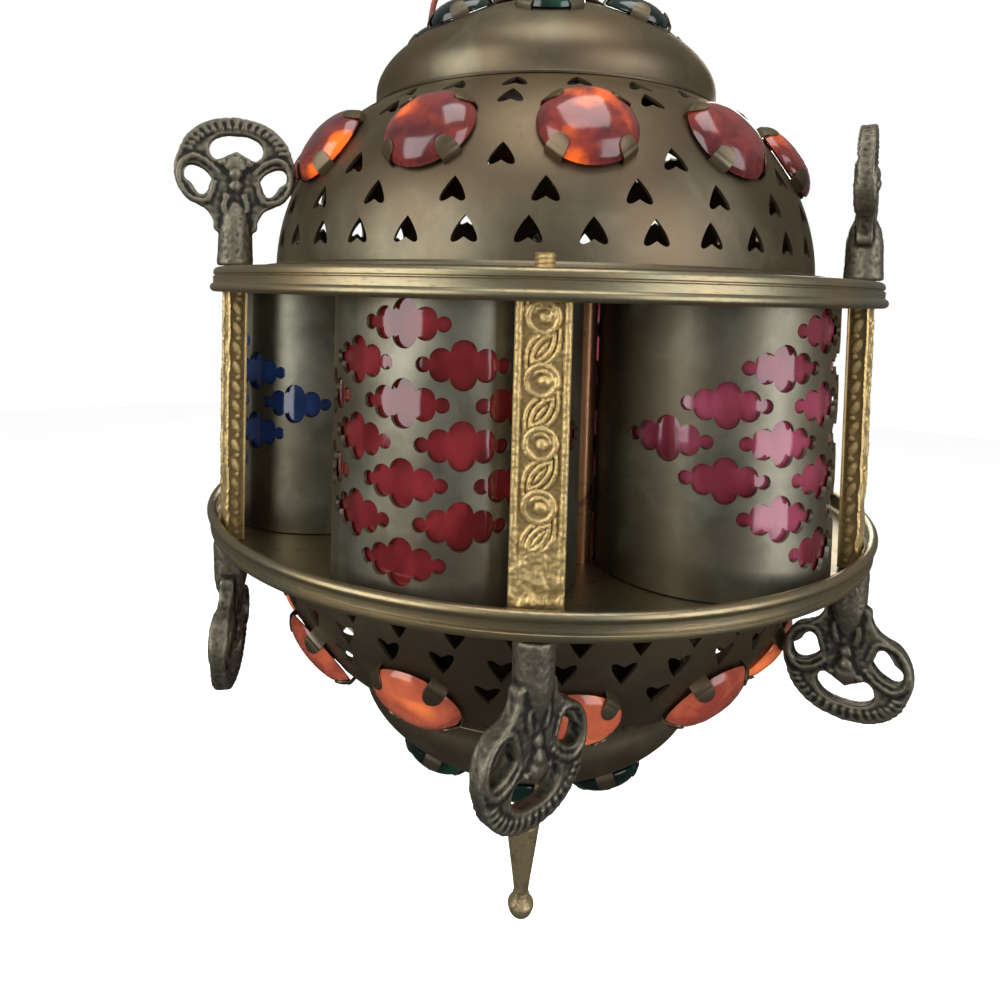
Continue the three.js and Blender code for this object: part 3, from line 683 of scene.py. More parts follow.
tray = turned("tray", tray_outline(), SPUN_SIDES)
OVER = Matrix.Rotation(math.pi, 4, "X")
keep("upper_tray_ring", tray, "ring_brass", RING_BRASS, "upper_ring")
keep("lower_tray_ring", tray, "ring_brass", RING_BRASS, "lower_ring", place=OVER)
for i, bearing in enumerate(VALLEY_BEARINGS):
    foot = around(bearing, ROD_CENTRE, -HALF + TRAY)
    height = [(0.0, 0.0), (ROD_RADIUS, 0.0), (ROD_RADIUS, 2 * BODY_HALF), (0.0, 2 * BODY_HALF)]
    rod = turned("rod", height, 32)
    keep(f"valley_rod_{i + 1}", rod, "ring_brass", COPPER, place=Matrix.Translation(foot))
print("ring:", len(tray.polygons), "faces")

# %% [markdown]
# Each lobe's panel is one sheet with sixteen cloud-shaped piercings, sawn flat and then bent round. The
# geometry tree below does the same: the piercings stand on a four by four grid turned by 45 degrees, which
# gives columns of 1, 2, 3, 4, 3, 2 and 1. They are cut out of a flat sheet, and a formula bends the sheet.
# The cloud is a chain of arcs: a small lobe at each end, a shoulder, and a round crown above and below.

# %% The cloud piercing
CLOUD_LOBES = [(1.7, (8.5, 0.0)), (2.5, (4.7, 1.1)), (2.85, (0.0, 2.5))]


def meeting(one, other):
    """The upper point where two round lobes meet, each given by its radius and its centre."""
    (r, a), (s, b) = one, other
    a, b = Vector(a), Vector(b)
    apart = (b - a).length
    way = (b - a) / apart
    along = (r * r - s * s + apart * apart) / (2 * apart)
    side = math.sqrt(r * r - along * along)
    return a + way * along + Vector((way.y, -way.x)) * side * (1 if way.x < 0 else -1)


def cloud_outline():
    """The edge of the cloud: its lobes' arcs from meeting to meeting, for a quarter and then all round."""
    quarter = []
    start = 0.0
    for i, lobe in enumerate(CLOUD_LOBES):
        radius, centre = lobe
        stop = 90.0
        if i < len(CLOUD_LOBES) - 1:
            meet = meeting(lobe, CLOUD_LOBES[i + 1])
            stop = math.degrees(math.atan2(meet.y - centre[1], meet.x - centre[0]))
        quarter.extend(arc(centre, radius, start, stop, 7)[:-1])
        if i < len(CLOUD_LOBES) - 1:
            following = CLOUD_LOBES[i + 1][1]
            start = math.degrees(math.atan2(meet.y - following[1], meet.x - following[0]))
    crown = (0.0, CLOUD_LOBES[-1][1][1] + CLOUD_LOBES[-1][0])
    half = quarter + [crown] + [(-x, y) for x, y in reversed(quarter)]
    return [Vector(p) for p in half + [(x, -y) for x, y in reversed(half[1:-1])]]


def cutter_of(name, outline, depth):
    """A prism of an outline, its middle on z = 0, as an object for the geometry trees."""
    rings = [[Vector((p.x, p.y, z)) for p in outline] for z in (-depth / 2, depth / 2)]
    return placed(name, loft(name, rings))


cloud_tool = cutter_of("cloud_tool", cloud_outline(), 6.0)
print("cloud:", len(cloud_tool.data.vertices) // 2, "points round its edge")

# %% [markdown]
# A geometry tree gets its sizes through named inputs. Two helpers make that short: one declares an input and
# gives its signal, one puts the tree on a carrier, sets the inputs by their identifiers before anything is
# evaluated, and returns the evaluated result as a plain mesh.

# %% Geometry tree helpers
class Recipe(Graph):
    """A geometry tree with named inputs, ending in Realize Instances and Set Material."""

    def __init__(self, name):
        super().__init__(bpy.data.node_groups.new(name, "GeometryNodeTree"))
        self.tree.interface.new_socket("Geometry", in_out="OUTPUT", socket_type="NodeSocketGeometry")
        self.start = self.node("NodeGroupInput")
        self.labels = {}

    def entry(self, name, kind="Float", value=None):
        """Declares a named input of a kind such as Float, Int, Object or Material."""
        made = self.tree.interface.new_socket(name, in_out="INPUT", socket_type=f"NodeSocket{kind}")
        self.labels[name] = made.identifier
        if value is not None:
            made.default_value = value
        return Signal(self, next(s for s in self.start.outputs if s.identifier == made.identifier))

    def vector(self, x, y, z):
        return self.signal("ShaderNodeCombineXYZ", 0, values={0: x, 1: y, 2: z})

    def index(self):
        return self.signal("GeometryNodeInputIndex", 0)

    def parts(self, vector):
        made = self.node("ShaderNodeSeparateXYZ", values={0: vector})
        return [Signal(self, socket) for socket in made.outputs]

    def place(self):
        return self.parts(self.signal("GeometryNodeInputPosition", 0))

    def points(self, count, position):
        return self.signal("GeometryNodePoints", 0, values={"Count": count, "Position": position})

    def object(self, entry):
        return self.signal("GeometryNodeObjectInfo", "Geometry", values={"Object": entry})

    def copies(self, points, instance, turn=None):
        values = {"Points": points, "Instance": instance}
        if turn is not None:
            values["Rotation"] = turn
        return self.signal("GeometryNodeInstanceOnPoints", 0, values=values)

    def realized(self, geometry):
        return self.signal("GeometryNodeRealizeInstances", 0, values={0: geometry})

    def together(self, *several):
        join = self.node("GeometryNodeJoinGeometry")
        for geometry in several:
            self.tree.links.new(geometry.socket, join.inputs[0])
        return Signal(self, join.outputs[0])

    def cut(self, body, tools):
        made = self.node("GeometryNodeMeshBoolean", {"operation": "DIFFERENCE", "solver": "MANIFOLD"})
        self.tree.links.new(body.socket, made.inputs["Mesh 1"])
        self.tree.links.new(tools.socket, made.inputs["Mesh 2"])
        return Signal(self, made.outputs["Mesh"])

    def moved(self, geometry, position):
        return self.signal("GeometryNodeSetPosition", 0, values={"Geometry": geometry, "Position": position})

    def round_axis(self, instance, count, radius, height, lean, turn):
        """Copies of an instance evenly round the axis, each laid on a wall that leans in."""
        kind = {"data_type": "FLOAT_VECTOR"}
        bearing = turn + self.index() * (2 * math.pi) / count
        east = radius * self.math("SINE", bearing)
        north = -1.0 * radius * self.math("COSINE", bearing)
        values = {
            "Geometry": self.points(count, self.vector(east, north, height)),
            "Name": "turn",
            "Value": self.vector(math.pi / 2 - lean, 0.0, bearing),
        }
        stored = self.signal("GeometryNodeStoreNamedAttribute", 0, kind, values)
        laid = self.signal("GeometryNodeInputNamedAttribute", "Attribute", kind, {"Name": "turn"})
        return self.copies(stored, instance, laid)

    def end(self, geometry, look, edge=None, on_edge=None):
        """Ends the tree: its finish, and another one where on_edge says so."""
        whole = self.realized(geometry)
        painted = self.signal("GeometryNodeSetMaterial", 0, values={"Geometry": whole, "Material": look})
        if edge is not None:
            values = {"Geometry": painted, "Selection": on_edge, "Material": edge}
            painted = self.signal("GeometryNodeSetMaterial", 0, values=values)
        finish = self.node("NodeGroupOutput")
        self.tree.links.new(painted.socket, finish.inputs[0])


def grown(name, recipe, values, sharp=35.0):
    """The mesh that a recipe makes with these values, in millimetres."""
    carrier = placed(name, bpy.data.meshes.new(name))
    modifier = carrier.modifiers.new("recipe", "NODES")
    modifier.node_group = recipe.tree
    for label, value in values.items():
        modifier[recipe.labels[label]] = value
    mesh = evaluated(carrier)
    mesh.name = name
    return shade(mesh, sharp)


# %% The panel's recipe
LOBE_RADIUS = 30.0
LOBE_CENTRE = 66.0
SHEET = 0.9
COLUMN_PITCH = 24.5
ROW_PITCH = 8.4
PANEL_EDGE = 5 * COLUMN_PITCH
GRID = 4
SHEET_STEPS = 150


def panel_recipe():
    recipe = Recipe("pierced_panel")
    tool = recipe.entry("Cloud", "Object")
    look = recipe.entry("Sheet finish", "Material")
    edge = recipe.entry("Edge finish", "Material")
    radius = recipe.entry("Lobe radius", value=LOBE_RADIUS)
    gauge = recipe.entry("Gauge", value=SHEET)
    half_height = recipe.entry("Half height", value=BODY_HALF)
    spread = recipe.entry("Half spread", value=math.radians(PANEL_EDGE))
    pitch = recipe.entry("Column pitch", value=math.radians(COLUMN_PITCH))
    row = recipe.entry("Row pitch", value=ROW_PITCH)

    size = recipe.vector(2 * spread * radius, 2 * half_height, gauge)
    values = {"Size": size, "Vertices X": SHEET_STEPS, "Vertices Y": 2, "Vertices Z": 2}
    sheet = recipe.signal("GeometryNodeMeshCube", 0, values=values)
    number = recipe.index()
    i = recipe.math("FLOOR", number / GRID)
    j = number - i * GRID
    position = recipe.vector((i + j - (GRID - 1)) * pitch * radius, (i - j) * row, 0.0)
    clouds = recipe.copies(recipe.points(GRID * GRID, position), recipe.object(tool))
    pierced = recipe.cut(sheet, recipe.realized(clouds))
    x, y, z = recipe.place()
    angle = x / radius
    reach = radius - 0.5 * gauge + z
    east = reach * recipe.math("SINE", angle)
    north = -1.0 * reach * recipe.math("COSINE", angle)
    curved = recipe.moved(pierced, recipe.vector(east, north, y))
    nx, ny, _ = recipe.parts(recipe.signal("GeometryNodeInputNormal", 0))
    px, py, _ = recipe.place()
    level = recipe.math("ABSOLUTE", (nx * px + ny * py) / radius)
    on_edge = recipe.math("LESS_THAN", level, 0.6)
    recipe.end(curved, look, edge, on_edge)
    return recipe


panel_looks = {"Sheet finish": PANEL_SHEET, "Edge finish": SAWN_EDGE}
panel = grown("panel", panel_recipe(), {"Cloud": cloud_tool, **panel_looks})
print("panel:", len(panel.polygons), "faces,", len(panel.materials), "finishes")

# %% The lobes
GLASS = 2.0
PANE_PLAY = 0.45
PANE_SPREAD = 110.25
PANE_STEPS = 72
BLUE_LOBES = (2, 5)
RED_LOBES = (0, 4)


def lobe_place(bearing):
    """Where a lobe's pieces stand, which are built round the lobe's own axis."""
    return Matrix.Translation(around(bearing, LOBE_CENTRE)) @ Matrix.Rotation(math.radians(bearing), 4, "Z")


def pane_mesh():
    """The trough of glass behind a panel."""
    outer = LOBE_RADIUS - SHEET - PANE_PLAY
    inner = outer - GLASS
    high = BODY_HALF - 0.3
    corners = [(inner, -high), (outer, -high), (outer, high), (inner, high)]
    rings = []
    for s in range(PANE_STEPS + 1):
        angle = -PANE_SPREAD + 2 * PANE_SPREAD * s / PANE_STEPS
        rings.append([around(angle, radius, height) for radius, height in corners])
    return loft("pane", rings)


pane = pane_mesh()
for i, bearing in enumerate(LOBE_BEARINGS):
    place = lobe_place(bearing)
    blue = i in BLUE_LOBES
    glass = BLUE_GLASS if blue else (RED_GLASS if i in RED_LOBES else ROSE_GLASS)
    slot = "blue_glass" if blue else "red_glass"
    looks = [PANEL_SHEET, SAWN_EDGE]
    keep(f"pierced_panel_{i + 1}", panel, "bronze_sheet", looks, f"panel_{i + 1}", place=place)
    keep(f"glass_pane_{i + 1}", pane, slot, glass, f"glass_liner_{i + 1}", place=place)
bpy.data.objects.remove(cloud_tool)
print("lobes:", len(LOBE_BEARINGS))

# %% [markdown]
# A dome is spun, then pierced with rows of hearts, and with a round window behind each jewel, so that light
# comes through it. The outline follows the solid's curve. The recipe puts each row of tools on points round
# the axis, turned to the slope of the wall there, and cuts them all at once.

# %% Dome and tier outlines
DOME_BASE = 82.6
DOME_RIM = 49.0
DOME_SHOULDER = 54.7
DOME_FLANGE = 3.6
TIER_RADIUS = 53.5
TIER_TOP = 19.0
TIER_WALL = 4.8
TIER_DEPTH = 32.0


def dome_radius(depth, base=DOME_BASE):
    """A function that gives a dome's radius at a height."""

    def radius(height):
        share = min(max(height / depth, 0.0), 1.0)
        return DOME_RIM + (base - DOME_RIM) * (1 - share**2) ** (2 / 3)

    return radius


def tier_radius(height):
    share = max(0.0, (height - TIER_WALL) / (TIER_DEPTH - TIER_WALL))
    return TIER_TOP + (TIER_RADIUS - TIER_TOP) * (1 - share**2)


def dome_outline(depth):
    shoulder = depth - SHOULDER_DROP
    steps = 26
    lift = math.acos(((DOME_SHOULDER - DOME_RIM) / (DOME_BASE - DOME_RIM)) ** 0.75)
    start = math.asin(1.6 / depth)
    heights = [depth * math.sin(start + (lift - start) * i / steps) for i in range(steps + 1)]
    outside = dome_radius(depth)
    inside = dome_radius(depth, DOME_BASE - SHEET)
    return [
        (DOME_BASE - SHEET, 0.0),
        (DOME_BASE + DOME_FLANGE - 0.3, 0.0),
        (DOME_BASE + DOME_FLANGE, 0.3),
        (DOME_BASE + DOME_FLANGE - 0.3, SHEET),
        (DOME_BASE + 0.6, SHEET),
        *[(outside(h), h) for h in heights],
        (DOME_SHOULDER - 1.0, shoulder),
        (DOME_RIM, shoulder),
        (DOME_RIM, shoulder - SHEET),
        *[(inside(h), h * (1 - SHEET / depth)) for h in reversed(heights)],
    ]


def tier_outline(opening):
    steps = 18
    heights = [TIER_WALL + (TIER_DEPTH - TIER_WALL) * i / steps for i in range(steps + 1)]
    inner = [h - SHEET * (h - TIER_WALL) / (TIER_DEPTH - TIER_WALL) for h in heights]
    return [
        (TIER_RADIUS - SHEET, 0.0),
        (TIER_RADIUS, 0.0),
        (TIER_RADIUS + 0.2, 0.5),
        (TIER_RADIUS, 1.0),
        (TIER_RADIUS, TIER_WALL - 0.8),
        *[(tier_radius(h), h) for h in heights],
        (opening, TIER_DEPTH),
        (opening, TIER_DEPTH - SHEET),
        *[(tier_radius(h) - SHEET, low) for h, low in zip(reversed(heights), reversed(inner))],
    ]


print("dome outline:", len(dome_outline(UPPER_DEPTH)), "points")

# %% The piercing tools
AMBER_RADIUS = 12.0
GREEN_RADIUS = 9.8
WINDOW_SHARE = 0.76
HEART_HALF = 3.1
HEART_SIDE = [
    (0, 1.06),
    (0.36, 0.62),
    (0.72, 0.05),
    (0.97, -0.5),
    (1.0, -0.8),
    (0.86, -0.94),
    (0.6, -0.92),
    (0.28, -0.76),
    (0, -0.58),
]


def heart_outline():
    """A narrow-shouldered heart with its tip towards +Y and a shallow notch."""
    points = curve_through([(x, y, 0) for x, y in HEART_SIDE], 3)
    side = [HEART_HALF * Vector((p.x, p.y)) for p in points]
    return side + [Vector((-p.x, p.y)) for p in reversed(side[1:-1])]


def round_outline(radius):
    return [radius * Vector((math.cos(a), math.sin(a))) for a in turns(28)]


heart_tool = cutter_of("heart_tool", heart_outline(), 7.0)
amber_window = cutter_of("amber_window", round_outline(WINDOW_SHARE * AMBER_RADIUS), 9.0)
green_window = cutter_of("green_window", round_outline(WINDOW_SHARE * GREEN_RADIUS), 9.0)
print("tools:", heart_tool.name, amber_window.name, green_window.name)

# %% The shell's recipe
def slope_of(radius_at, height):
    """Degrees by which the wall leans in from upright."""
    step = 0.5
    return math.degrees(math.atan((radius_at(height - step) - radius_at(height + step)) / (2 * step)))


def shell_recipe(rows):
    """rows is a number of rows of piercings; each has its own named inputs."""
    recipe = Recipe("pierced_shell")
    body = recipe.entry("Shell", "Object")
    look = recipe.entry("Sheet finish", "Material")
    edge = recipe.entry("Edge finish", "Material")
    tools = []
    for k in range(rows):
        tool = recipe.entry(f"Tool {k}", "Object")
        count = recipe.entry(f"Count {k}", "Int", 1)
        radius = recipe.entry(f"Radius {k}")
        height = recipe.entry(f"Height {k}")
        lean = recipe.entry(f"Lean {k}")
        turn = recipe.entry(f"Turn {k}")
        row = recipe.round_axis(recipe.object(tool), count, radius, height, lean, turn)
        tools.append(recipe.realized(row))
    shell = recipe.object(body)
    pierced = recipe.cut(shell, recipe.together(*tools)) if tools else shell
    nx, ny, _ = recipe.parts(recipe.signal("GeometryNodeInputNormal", 0))
    px, py, _ = recipe.place()
    flat_turn = recipe.math("ABSOLUTE", (nx * py - ny * px) / recipe.math("SQRT", px * px + py * py))
    sawn = recipe.math("GREATER_THAN", flat_turn, 0.12)
    recipe.end(pierced, look, edge, sawn)
    return recipe


def pierced_shell(name, outline, sides, rows):
    """rows holds (tool, count, radius function, height, turn in degrees)."""
    body = placed(f"{name}_blank", turned(name, outline, sides))
    values = {"Shell": body, "Sheet finish": AGED_SHEET, "Edge finish": SAWN_EDGE}
    for k, (tool, count, radius_at, height, turn) in enumerate(rows):
        values[f"Tool {k}"] = tool
        values[f"Count {k}"] = count
        values[f"Radius {k}"] = radius_at(height) - SHEET / 2
        values[f"Height {k}"] = float(height)
        values[f"Lean {k}"] = math.radians(slope_of(radius_at, height))
        values[f"Turn {k}"] = math.radians(turn)
    mesh = grown(name, shell_recipe(len(rows)), values)
    bpy.data.objects.remove(body)
    print(name, "has", len(mesh.polygons), "faces")
    return mesh


# %% Domes and tiers
AMBER_TURN = 7.5
AMBER_COUNT = 12
AMBER_PLACE = 0.64
GREEN_COUNT = 8
GREEN_PLACE = 0.76
UPPER_GREEN_TURN = 1.0
LOWER_GREEN_TURN = 184.0
LOWER_AMBER_TURN = 180 - AMBER_TURN
UPPER_OPENING = 15.0
LOWER_OPENING = 2.5
TIER_SIDES = 120
UPPER_TIER_FOOT = height_of("upper_tier", False) - CAGE_MIDDLE
LOWER_TIER_FOOT = CAGE_MIDDLE - height_of("lower_tier", True)


def half_place(foot, upper):
    """Where a piece of the upper or the lower half stands: the lower half is turned over."""
    return Matrix.Translation((0, 0, foot)) if upper else Matrix.Translation((0, 0, -foot)) @ OVER


def dome_rows(depth, turn, middle_count):
    """Three rows of hearts towards the tray, two towards the tier, and a window behind each jewel."""
    curve = dome_radius(depth)
    return [
        (heart_tool, 36, curve, 8.4, turn),
        (heart_tool, middle_count, curve, 0.34 * depth, turn - 7.5),
        (heart_tool, 12, curve, 0.5 * depth, turn + 15),
        (heart_tool, 12, curve, 0.81 * depth, turn + 15),
        (heart_tool, 24, curve, 0.91 * depth, turn),
        (amber_window, AMBER_COUNT, curve, AMBER_PLACE * depth, turn),
    ]


def tier_rows(turn):
    return [(green_window, GREEN_COUNT, tier_radius, GREEN_PLACE * TIER_DEPTH, turn)]


upper_rows = dome_rows(UPPER_DEPTH, AMBER_TURN, 24)
lower_rows = dome_rows(LOWER_DEPTH, LOWER_AMBER_TURN, 36)
upper_tier, lower_tier = tier_outline(UPPER_OPENING), tier_outline(LOWER_OPENING)
for node, outline, sides, rows, foot, upper in (
    ("upper_dome", dome_outline(UPPER_DEPTH), SPUN_SIDES, upper_rows, SEAT, True),
    ("lower_dome", dome_outline(LOWER_DEPTH), SPUN_SIDES, lower_rows, SEAT, False),
    ("upper_tier", upper_tier, TIER_SIDES, tier_rows(UPPER_GREEN_TURN), UPPER_TIER_FOOT, True),
    ("lower_tier", lower_tier, TIER_SIDES, tier_rows(LOWER_GREEN_TURN), LOWER_TIER_FOOT, False),
):
    shell = pierced_shell(f"{node}_shell", outline, sides, rows)
    keep(f"{node}_sheet", shell, "bronze_sheet", [AGED_SHEET, SAWN_EDGE], node, place=half_place(foot, upper))
for tool in (heart_tool, amber_window, green_window):
    bpy.data.objects.remove(tool)
print("tier feet at", round(UPPER_TIER_FOOT, 2), round(LOWER_TIER_FOOT, 2))

# %% [markdown]
# The jewels are cast glass buttons, flat behind and domed in front, none quite like the next. Each is held by
# four little tabs of sheet, bent up and over its edge. One recipe sets four tabs round a jewel's place and
# repeats them round the axis.

# %% Jewels
def glass_height(share, rise):
    """How high a jewel stands at a share of its radius."""
    return rise * (1 - share**2.6) ** 0.62


def jewel_mesh(radius, rise, seed):
    """A button of glass, a little out of round and dented, from its edge up to its top."""
    sides = 40
    steps = 9
    rings = []
    for k in range(steps + 1):
        share = math.sin(math.pi / 2 * (1 - k / steps))
        top = glass_height(share, rise)
        ring = []
        for s in range(sides):
            angle = 2 * math.pi * s / sides
            way = Vector((math.cos(angle), math.sin(angle), 0))
            wobble = 1 + 0.035 * noise.noise(way * 1.3 + Vector((seed, 0, 0)))
            spread = max(share, 1e-4) * radius * wobble
            dent = 0.22 * noise.noise(Vector((way.x * spread, way.y * spread, seed * 7)) / 6)
            ring.append(Vector((way.x * spread, way.y * spread, top + dent * (1 - share**6))))
        rings.append(ring)
    rings.insert(0, [Vector((p.x * 0.97, p.y * 0.97, -0.25)) for p in rings[0]])
    return loft("jewel", rings, 50.0)


def on_wall(radius_at, height, bearing, lift=0.0):
    """The matrix that lays a flat piece on the wall, its Z outwards and its Y up the wall."""
    lean = math.radians(slope_of(radius_at, height))
    radius = radius_at(height) + lift * math.cos(lean)
    return (
        Matrix.Rotation(math.radians(bearing), 4, "Z")
        @ Matrix.Translation((0, -radius, height + lift * math.sin(lean)))
        @ Matrix.Rotation(math.pi / 2 - lean, 4, "X")
    )


TAB_LENGTH = 2.9
TAB_HALF_WIDTH = 2.5
TABS_EACH = 4
JEWEL_LIFT = 0.1
UPPER_AMBER_RISE = 5.0
LOWER_AMBER_RISE = 4.3
GREEN_RISE = 4.6


def tab_mesh(reach, rise):
    """A half-round tab: up beside the jewel, over the edge and down on the glass."""
    steps = [0.5, 0.35 * TAB_LENGTH, 0.7 * TAB_LENGTH, TAB_LENGTH]
    on_glass = [(0, reach - d, glass_height((reach - d) / reach, rise) + 0.2) for d in steps]
    path = curve_through([(0, reach + 0.25, -2.8), (0, reach + 0.35, 0.3), *on_glass], 4)
    rings = []
    for i, point in enumerate(path):
        inward = max(0.0, (reach - point[1]) / TAB_LENGTH)
        wide = TAB_HALF_WIDTH * math.sqrt(max(0.02, 1 - min(1.0, inward) ** 2.4))
        before = path[max(0, i - 1)]
        after = path[min(len(path) - 1, i + 1)]
        out = (after - before).cross(Vector((1, 0, 0))).normalized() * -0.16
        ring = []
        under = [(s / 2, -1) for s in range(-2, 3)]
        over = [(s / 2, 1) for s in range(2, -3, -1)]
        for share, side in under + over:
            crown = 0.6 * (1 - share * share)
            ring.append(point + Vector((share * wide, 0, 0)) + out * (side - crown))
        rings.append(ring)
    return loft("tab", rings, 40.0)


def tabs_recipe():
    recipe = Recipe("jewel_tabs")
    tab = recipe.entry("Tab", "Object")
    look = recipe.entry("Tab finish", "Material")
    count = recipe.entry("Jewels", "Int", AMBER_COUNT)
    radius, height, lean, turn = (recipe.entry(name) for name in ("Radius", "Height", "Lean", "Turn"))
    corner = math.pi / 4 + recipe.index() * (2 * math.pi / TABS_EACH)
    middle = recipe.points(TABS_EACH, recipe.vector(0.0, 0.0, 0.0))
    setting = recipe.realized(recipe.copies(middle, recipe.object(tab), recipe.vector(0.0, 0.0, corner)))
    recipe.end(recipe.round_axis(setting, count, radius, height, lean, turn), look)
    return recipe


TABS = tabs_recipe()


def jewel_row(label, jewel, wall, place, finish, nodes=None):
    """A ring of jewels and tabs. jewel is (count, radius, rise), wall is (radius function, height, turn)."""
    count, radius, rise = jewel
    radius_at, height, turn = wall
    look, slot = finish
    for i in range(count):
        stone = jewel_mesh(radius, rise, 3.7 * i + (50 if label.startswith("lower") else 0))
        spot = place @ on_wall(radius_at, height, turn + 360 * i / count, JEWEL_LIFT)
        node = [f"{nodes}_{i + 1}"] if nodes else []
        keep(f"{label}_{i + 1}", stone, slot, look, *node, place=spot)
    tool = placed("tab", tab_mesh(radius, rise))
    lean = math.radians(slope_of(radius_at, height))
    values = {
        "Tab": tool,
        "Tab finish": AGED_SHEET,
        "Jewels": count,
        "Radius": radius_at(height) + JEWEL_LIFT * math.cos(lean),
        "Height": height + JEWEL_LIFT * math.sin(lean),
        "Lean": lean,
        "Turn": math.radians(turn),
    }
    tabs = grown(f"{label}_tabs", TABS, values)
    bpy.data.objects.remove(tool)
    keep(f"{label}_tabs", tabs, "bronze_sheet", AGED_SHEET, place=place)
    print(label, count, "jewels,", len(tabs.polygons), "faces of tabs")


for label, depth, rise, turn, upper, look, nodes in (
    ("upper_amber", UPPER_DEPTH, UPPER_AMBER_RISE, AMBER_TURN, True, AMBER_GLASS, "amber_jewel"),
    ("lower_amber", LOWER_DEPTH, LOWER_AMBER_RISE, LOWER_AMBER_TURN, False, CORAL_GLASS, None),
):
    wall = (dome_radius(depth), AMBER_PLACE * depth, turn)
    ambers = (AMBER_COUNT, AMBER_RADIUS, rise)
    jewel_row(label, ambers, wall, half_place(SEAT, upper), (look, "amber_glass"), nodes)
for label, turn, foot, upper, nodes in (
    ("upper_green", UPPER_GREEN_TURN, UPPER_TIER_FOOT, True, "green_jewel"),
    ("lower_green", LOWER_GREEN_TURN, LOWER_TIER_FOOT, False, None),
):
    wall = (tier_radius, GREEN_PLACE * TIER_DEPTH, turn)
    greens = (GREEN_COUNT, GREEN_RADIUS, GREEN_RISE)
    jewel_row(label, greens, wall, half_place(foot, upper), (GREEN_GLASS, "green_glass"), nodes)

# %% [markdown]
# The posts are cast: a bright flat border, and in a sunk ground between them a vine that swings from side to
# side round a row of rosettes, each with a round button. The sides carry a row of small leaves. A post is a
# stack of sections, and the depth of each point is a formula of its distance to these forms, with noise for
# the unevenness of the casting. The same depth is kept as an attribute, so the finish can paint the sunk
# ground darker, as painted shade. Threaded ends carry the finials.

# %% The posts' carving
POST_WIDTH = 11.5
POST_DEPTH = 5.0
POST_RADIUS = 95.15
STUD_RADIUS = 2.2
BORDER = 1.7
GROUND = 0.85
ROUND_PITCH = 12.7
FIRST_ROUND = BODY_HALF - 8.5
STRAND_PITCH = 1.35
STRAND_LEAN = math.radians(52)
SIDE_GROUND = 0.45
SIDE_PITCH = 5.2
POST_STEPS = 240
POST_BEARINGS = [60 * i for i in range(6)]


def ridge(distance, half_width):
    """A rounded ridge: 1 on its line, 0 from half_width on."""
    return np.sqrt(np.clip(1 - (distance / half_width) ** 2, 0, 1))


def carving_depth(x, z):
    """How far each point of the front stands above the sunk ground, in mm."""
    inner = POST_WIDTH / 2 - BORDER
    border = GROUND * np.clip((np.abs(x) - inner) / 0.5, 0, 1)
    number = np.floor((FIRST_ROUND - z) / ROUND_PITCH + 0.5)
    dz = z - (FIRST_ROUND - number * ROUND_PITCH)
    far = np.hypot(x, dz)
    turn = np.arctan2(dz, x)
    loop = 0.9 * ridge(far - 3.1, 0.7) * (0.62 + 0.38 * np.clip(np.cos(turn - 0.7) + 0.6, 0, 1))
    lid = 0.8 * ridge(far - 1.95, 0.5) * np.clip(np.sin(turn + 0.5) + 0.4, 0, 1)
    button = 1.0 * ridge(np.hypot(x - 0.35, dz + 0.1), 1.3)
    between = z - (FIRST_ROUND - (np.floor((FIRST_ROUND - z) / ROUND_PITCH) + 0.5) * ROUND_PITCH)
    across = x * math.sin(STRAND_LEAN) - between * math.cos(STRAND_LEAN)
    along = x * math.cos(STRAND_LEAN) + between * math.sin(STRAND_LEAN)
    place = across + 0.10 * along**2 * np.sign(across)
    strand = 0.85 * ridge(place - STRAND_PITCH * np.round(place / STRAND_PITCH), 0.56)
    strand = strand * (np.abs(place) < 3.3)
    strand = strand * np.clip((far - 3.6) / 0.4, 0, 1) * np.clip((6.2 - np.abs(along)) / 0.8, 0, 1)
    return np.maximum.reduce([border, loop, lid, button, strand])


def side_depth(y, z):
    """The carving of a post's sides: a row of small leaves between two narrow borders, in mm."""
    inner = POST_DEPTH / 2 - 0.6
    border = SIDE_GROUND * np.clip((np.abs(y) - inner) / 0.3, 0, 1)
    place = z - SIDE_PITCH * np.round(z / SIDE_PITCH)
    lean = place + 0.8 * y
    leaf = 0.9 * SIDE_GROUND * ridge(np.hypot(lean / 1.7, y / 1.3), 1.0)
    bead = SIDE_GROUND * ridge(np.hypot(np.abs(place) - SIDE_PITCH / 2, y - 0.5), 0.75)
    return np.maximum.reduce([border, leaf, bead])


def uneven(points, scale, seed):
    """Noise at each of the points, -0.5 to 0.5 or so, for the unevenness of a casting."""
    return np.array([noise.noise(Vector((a * scale, b * scale, seed))) for a, b in points])


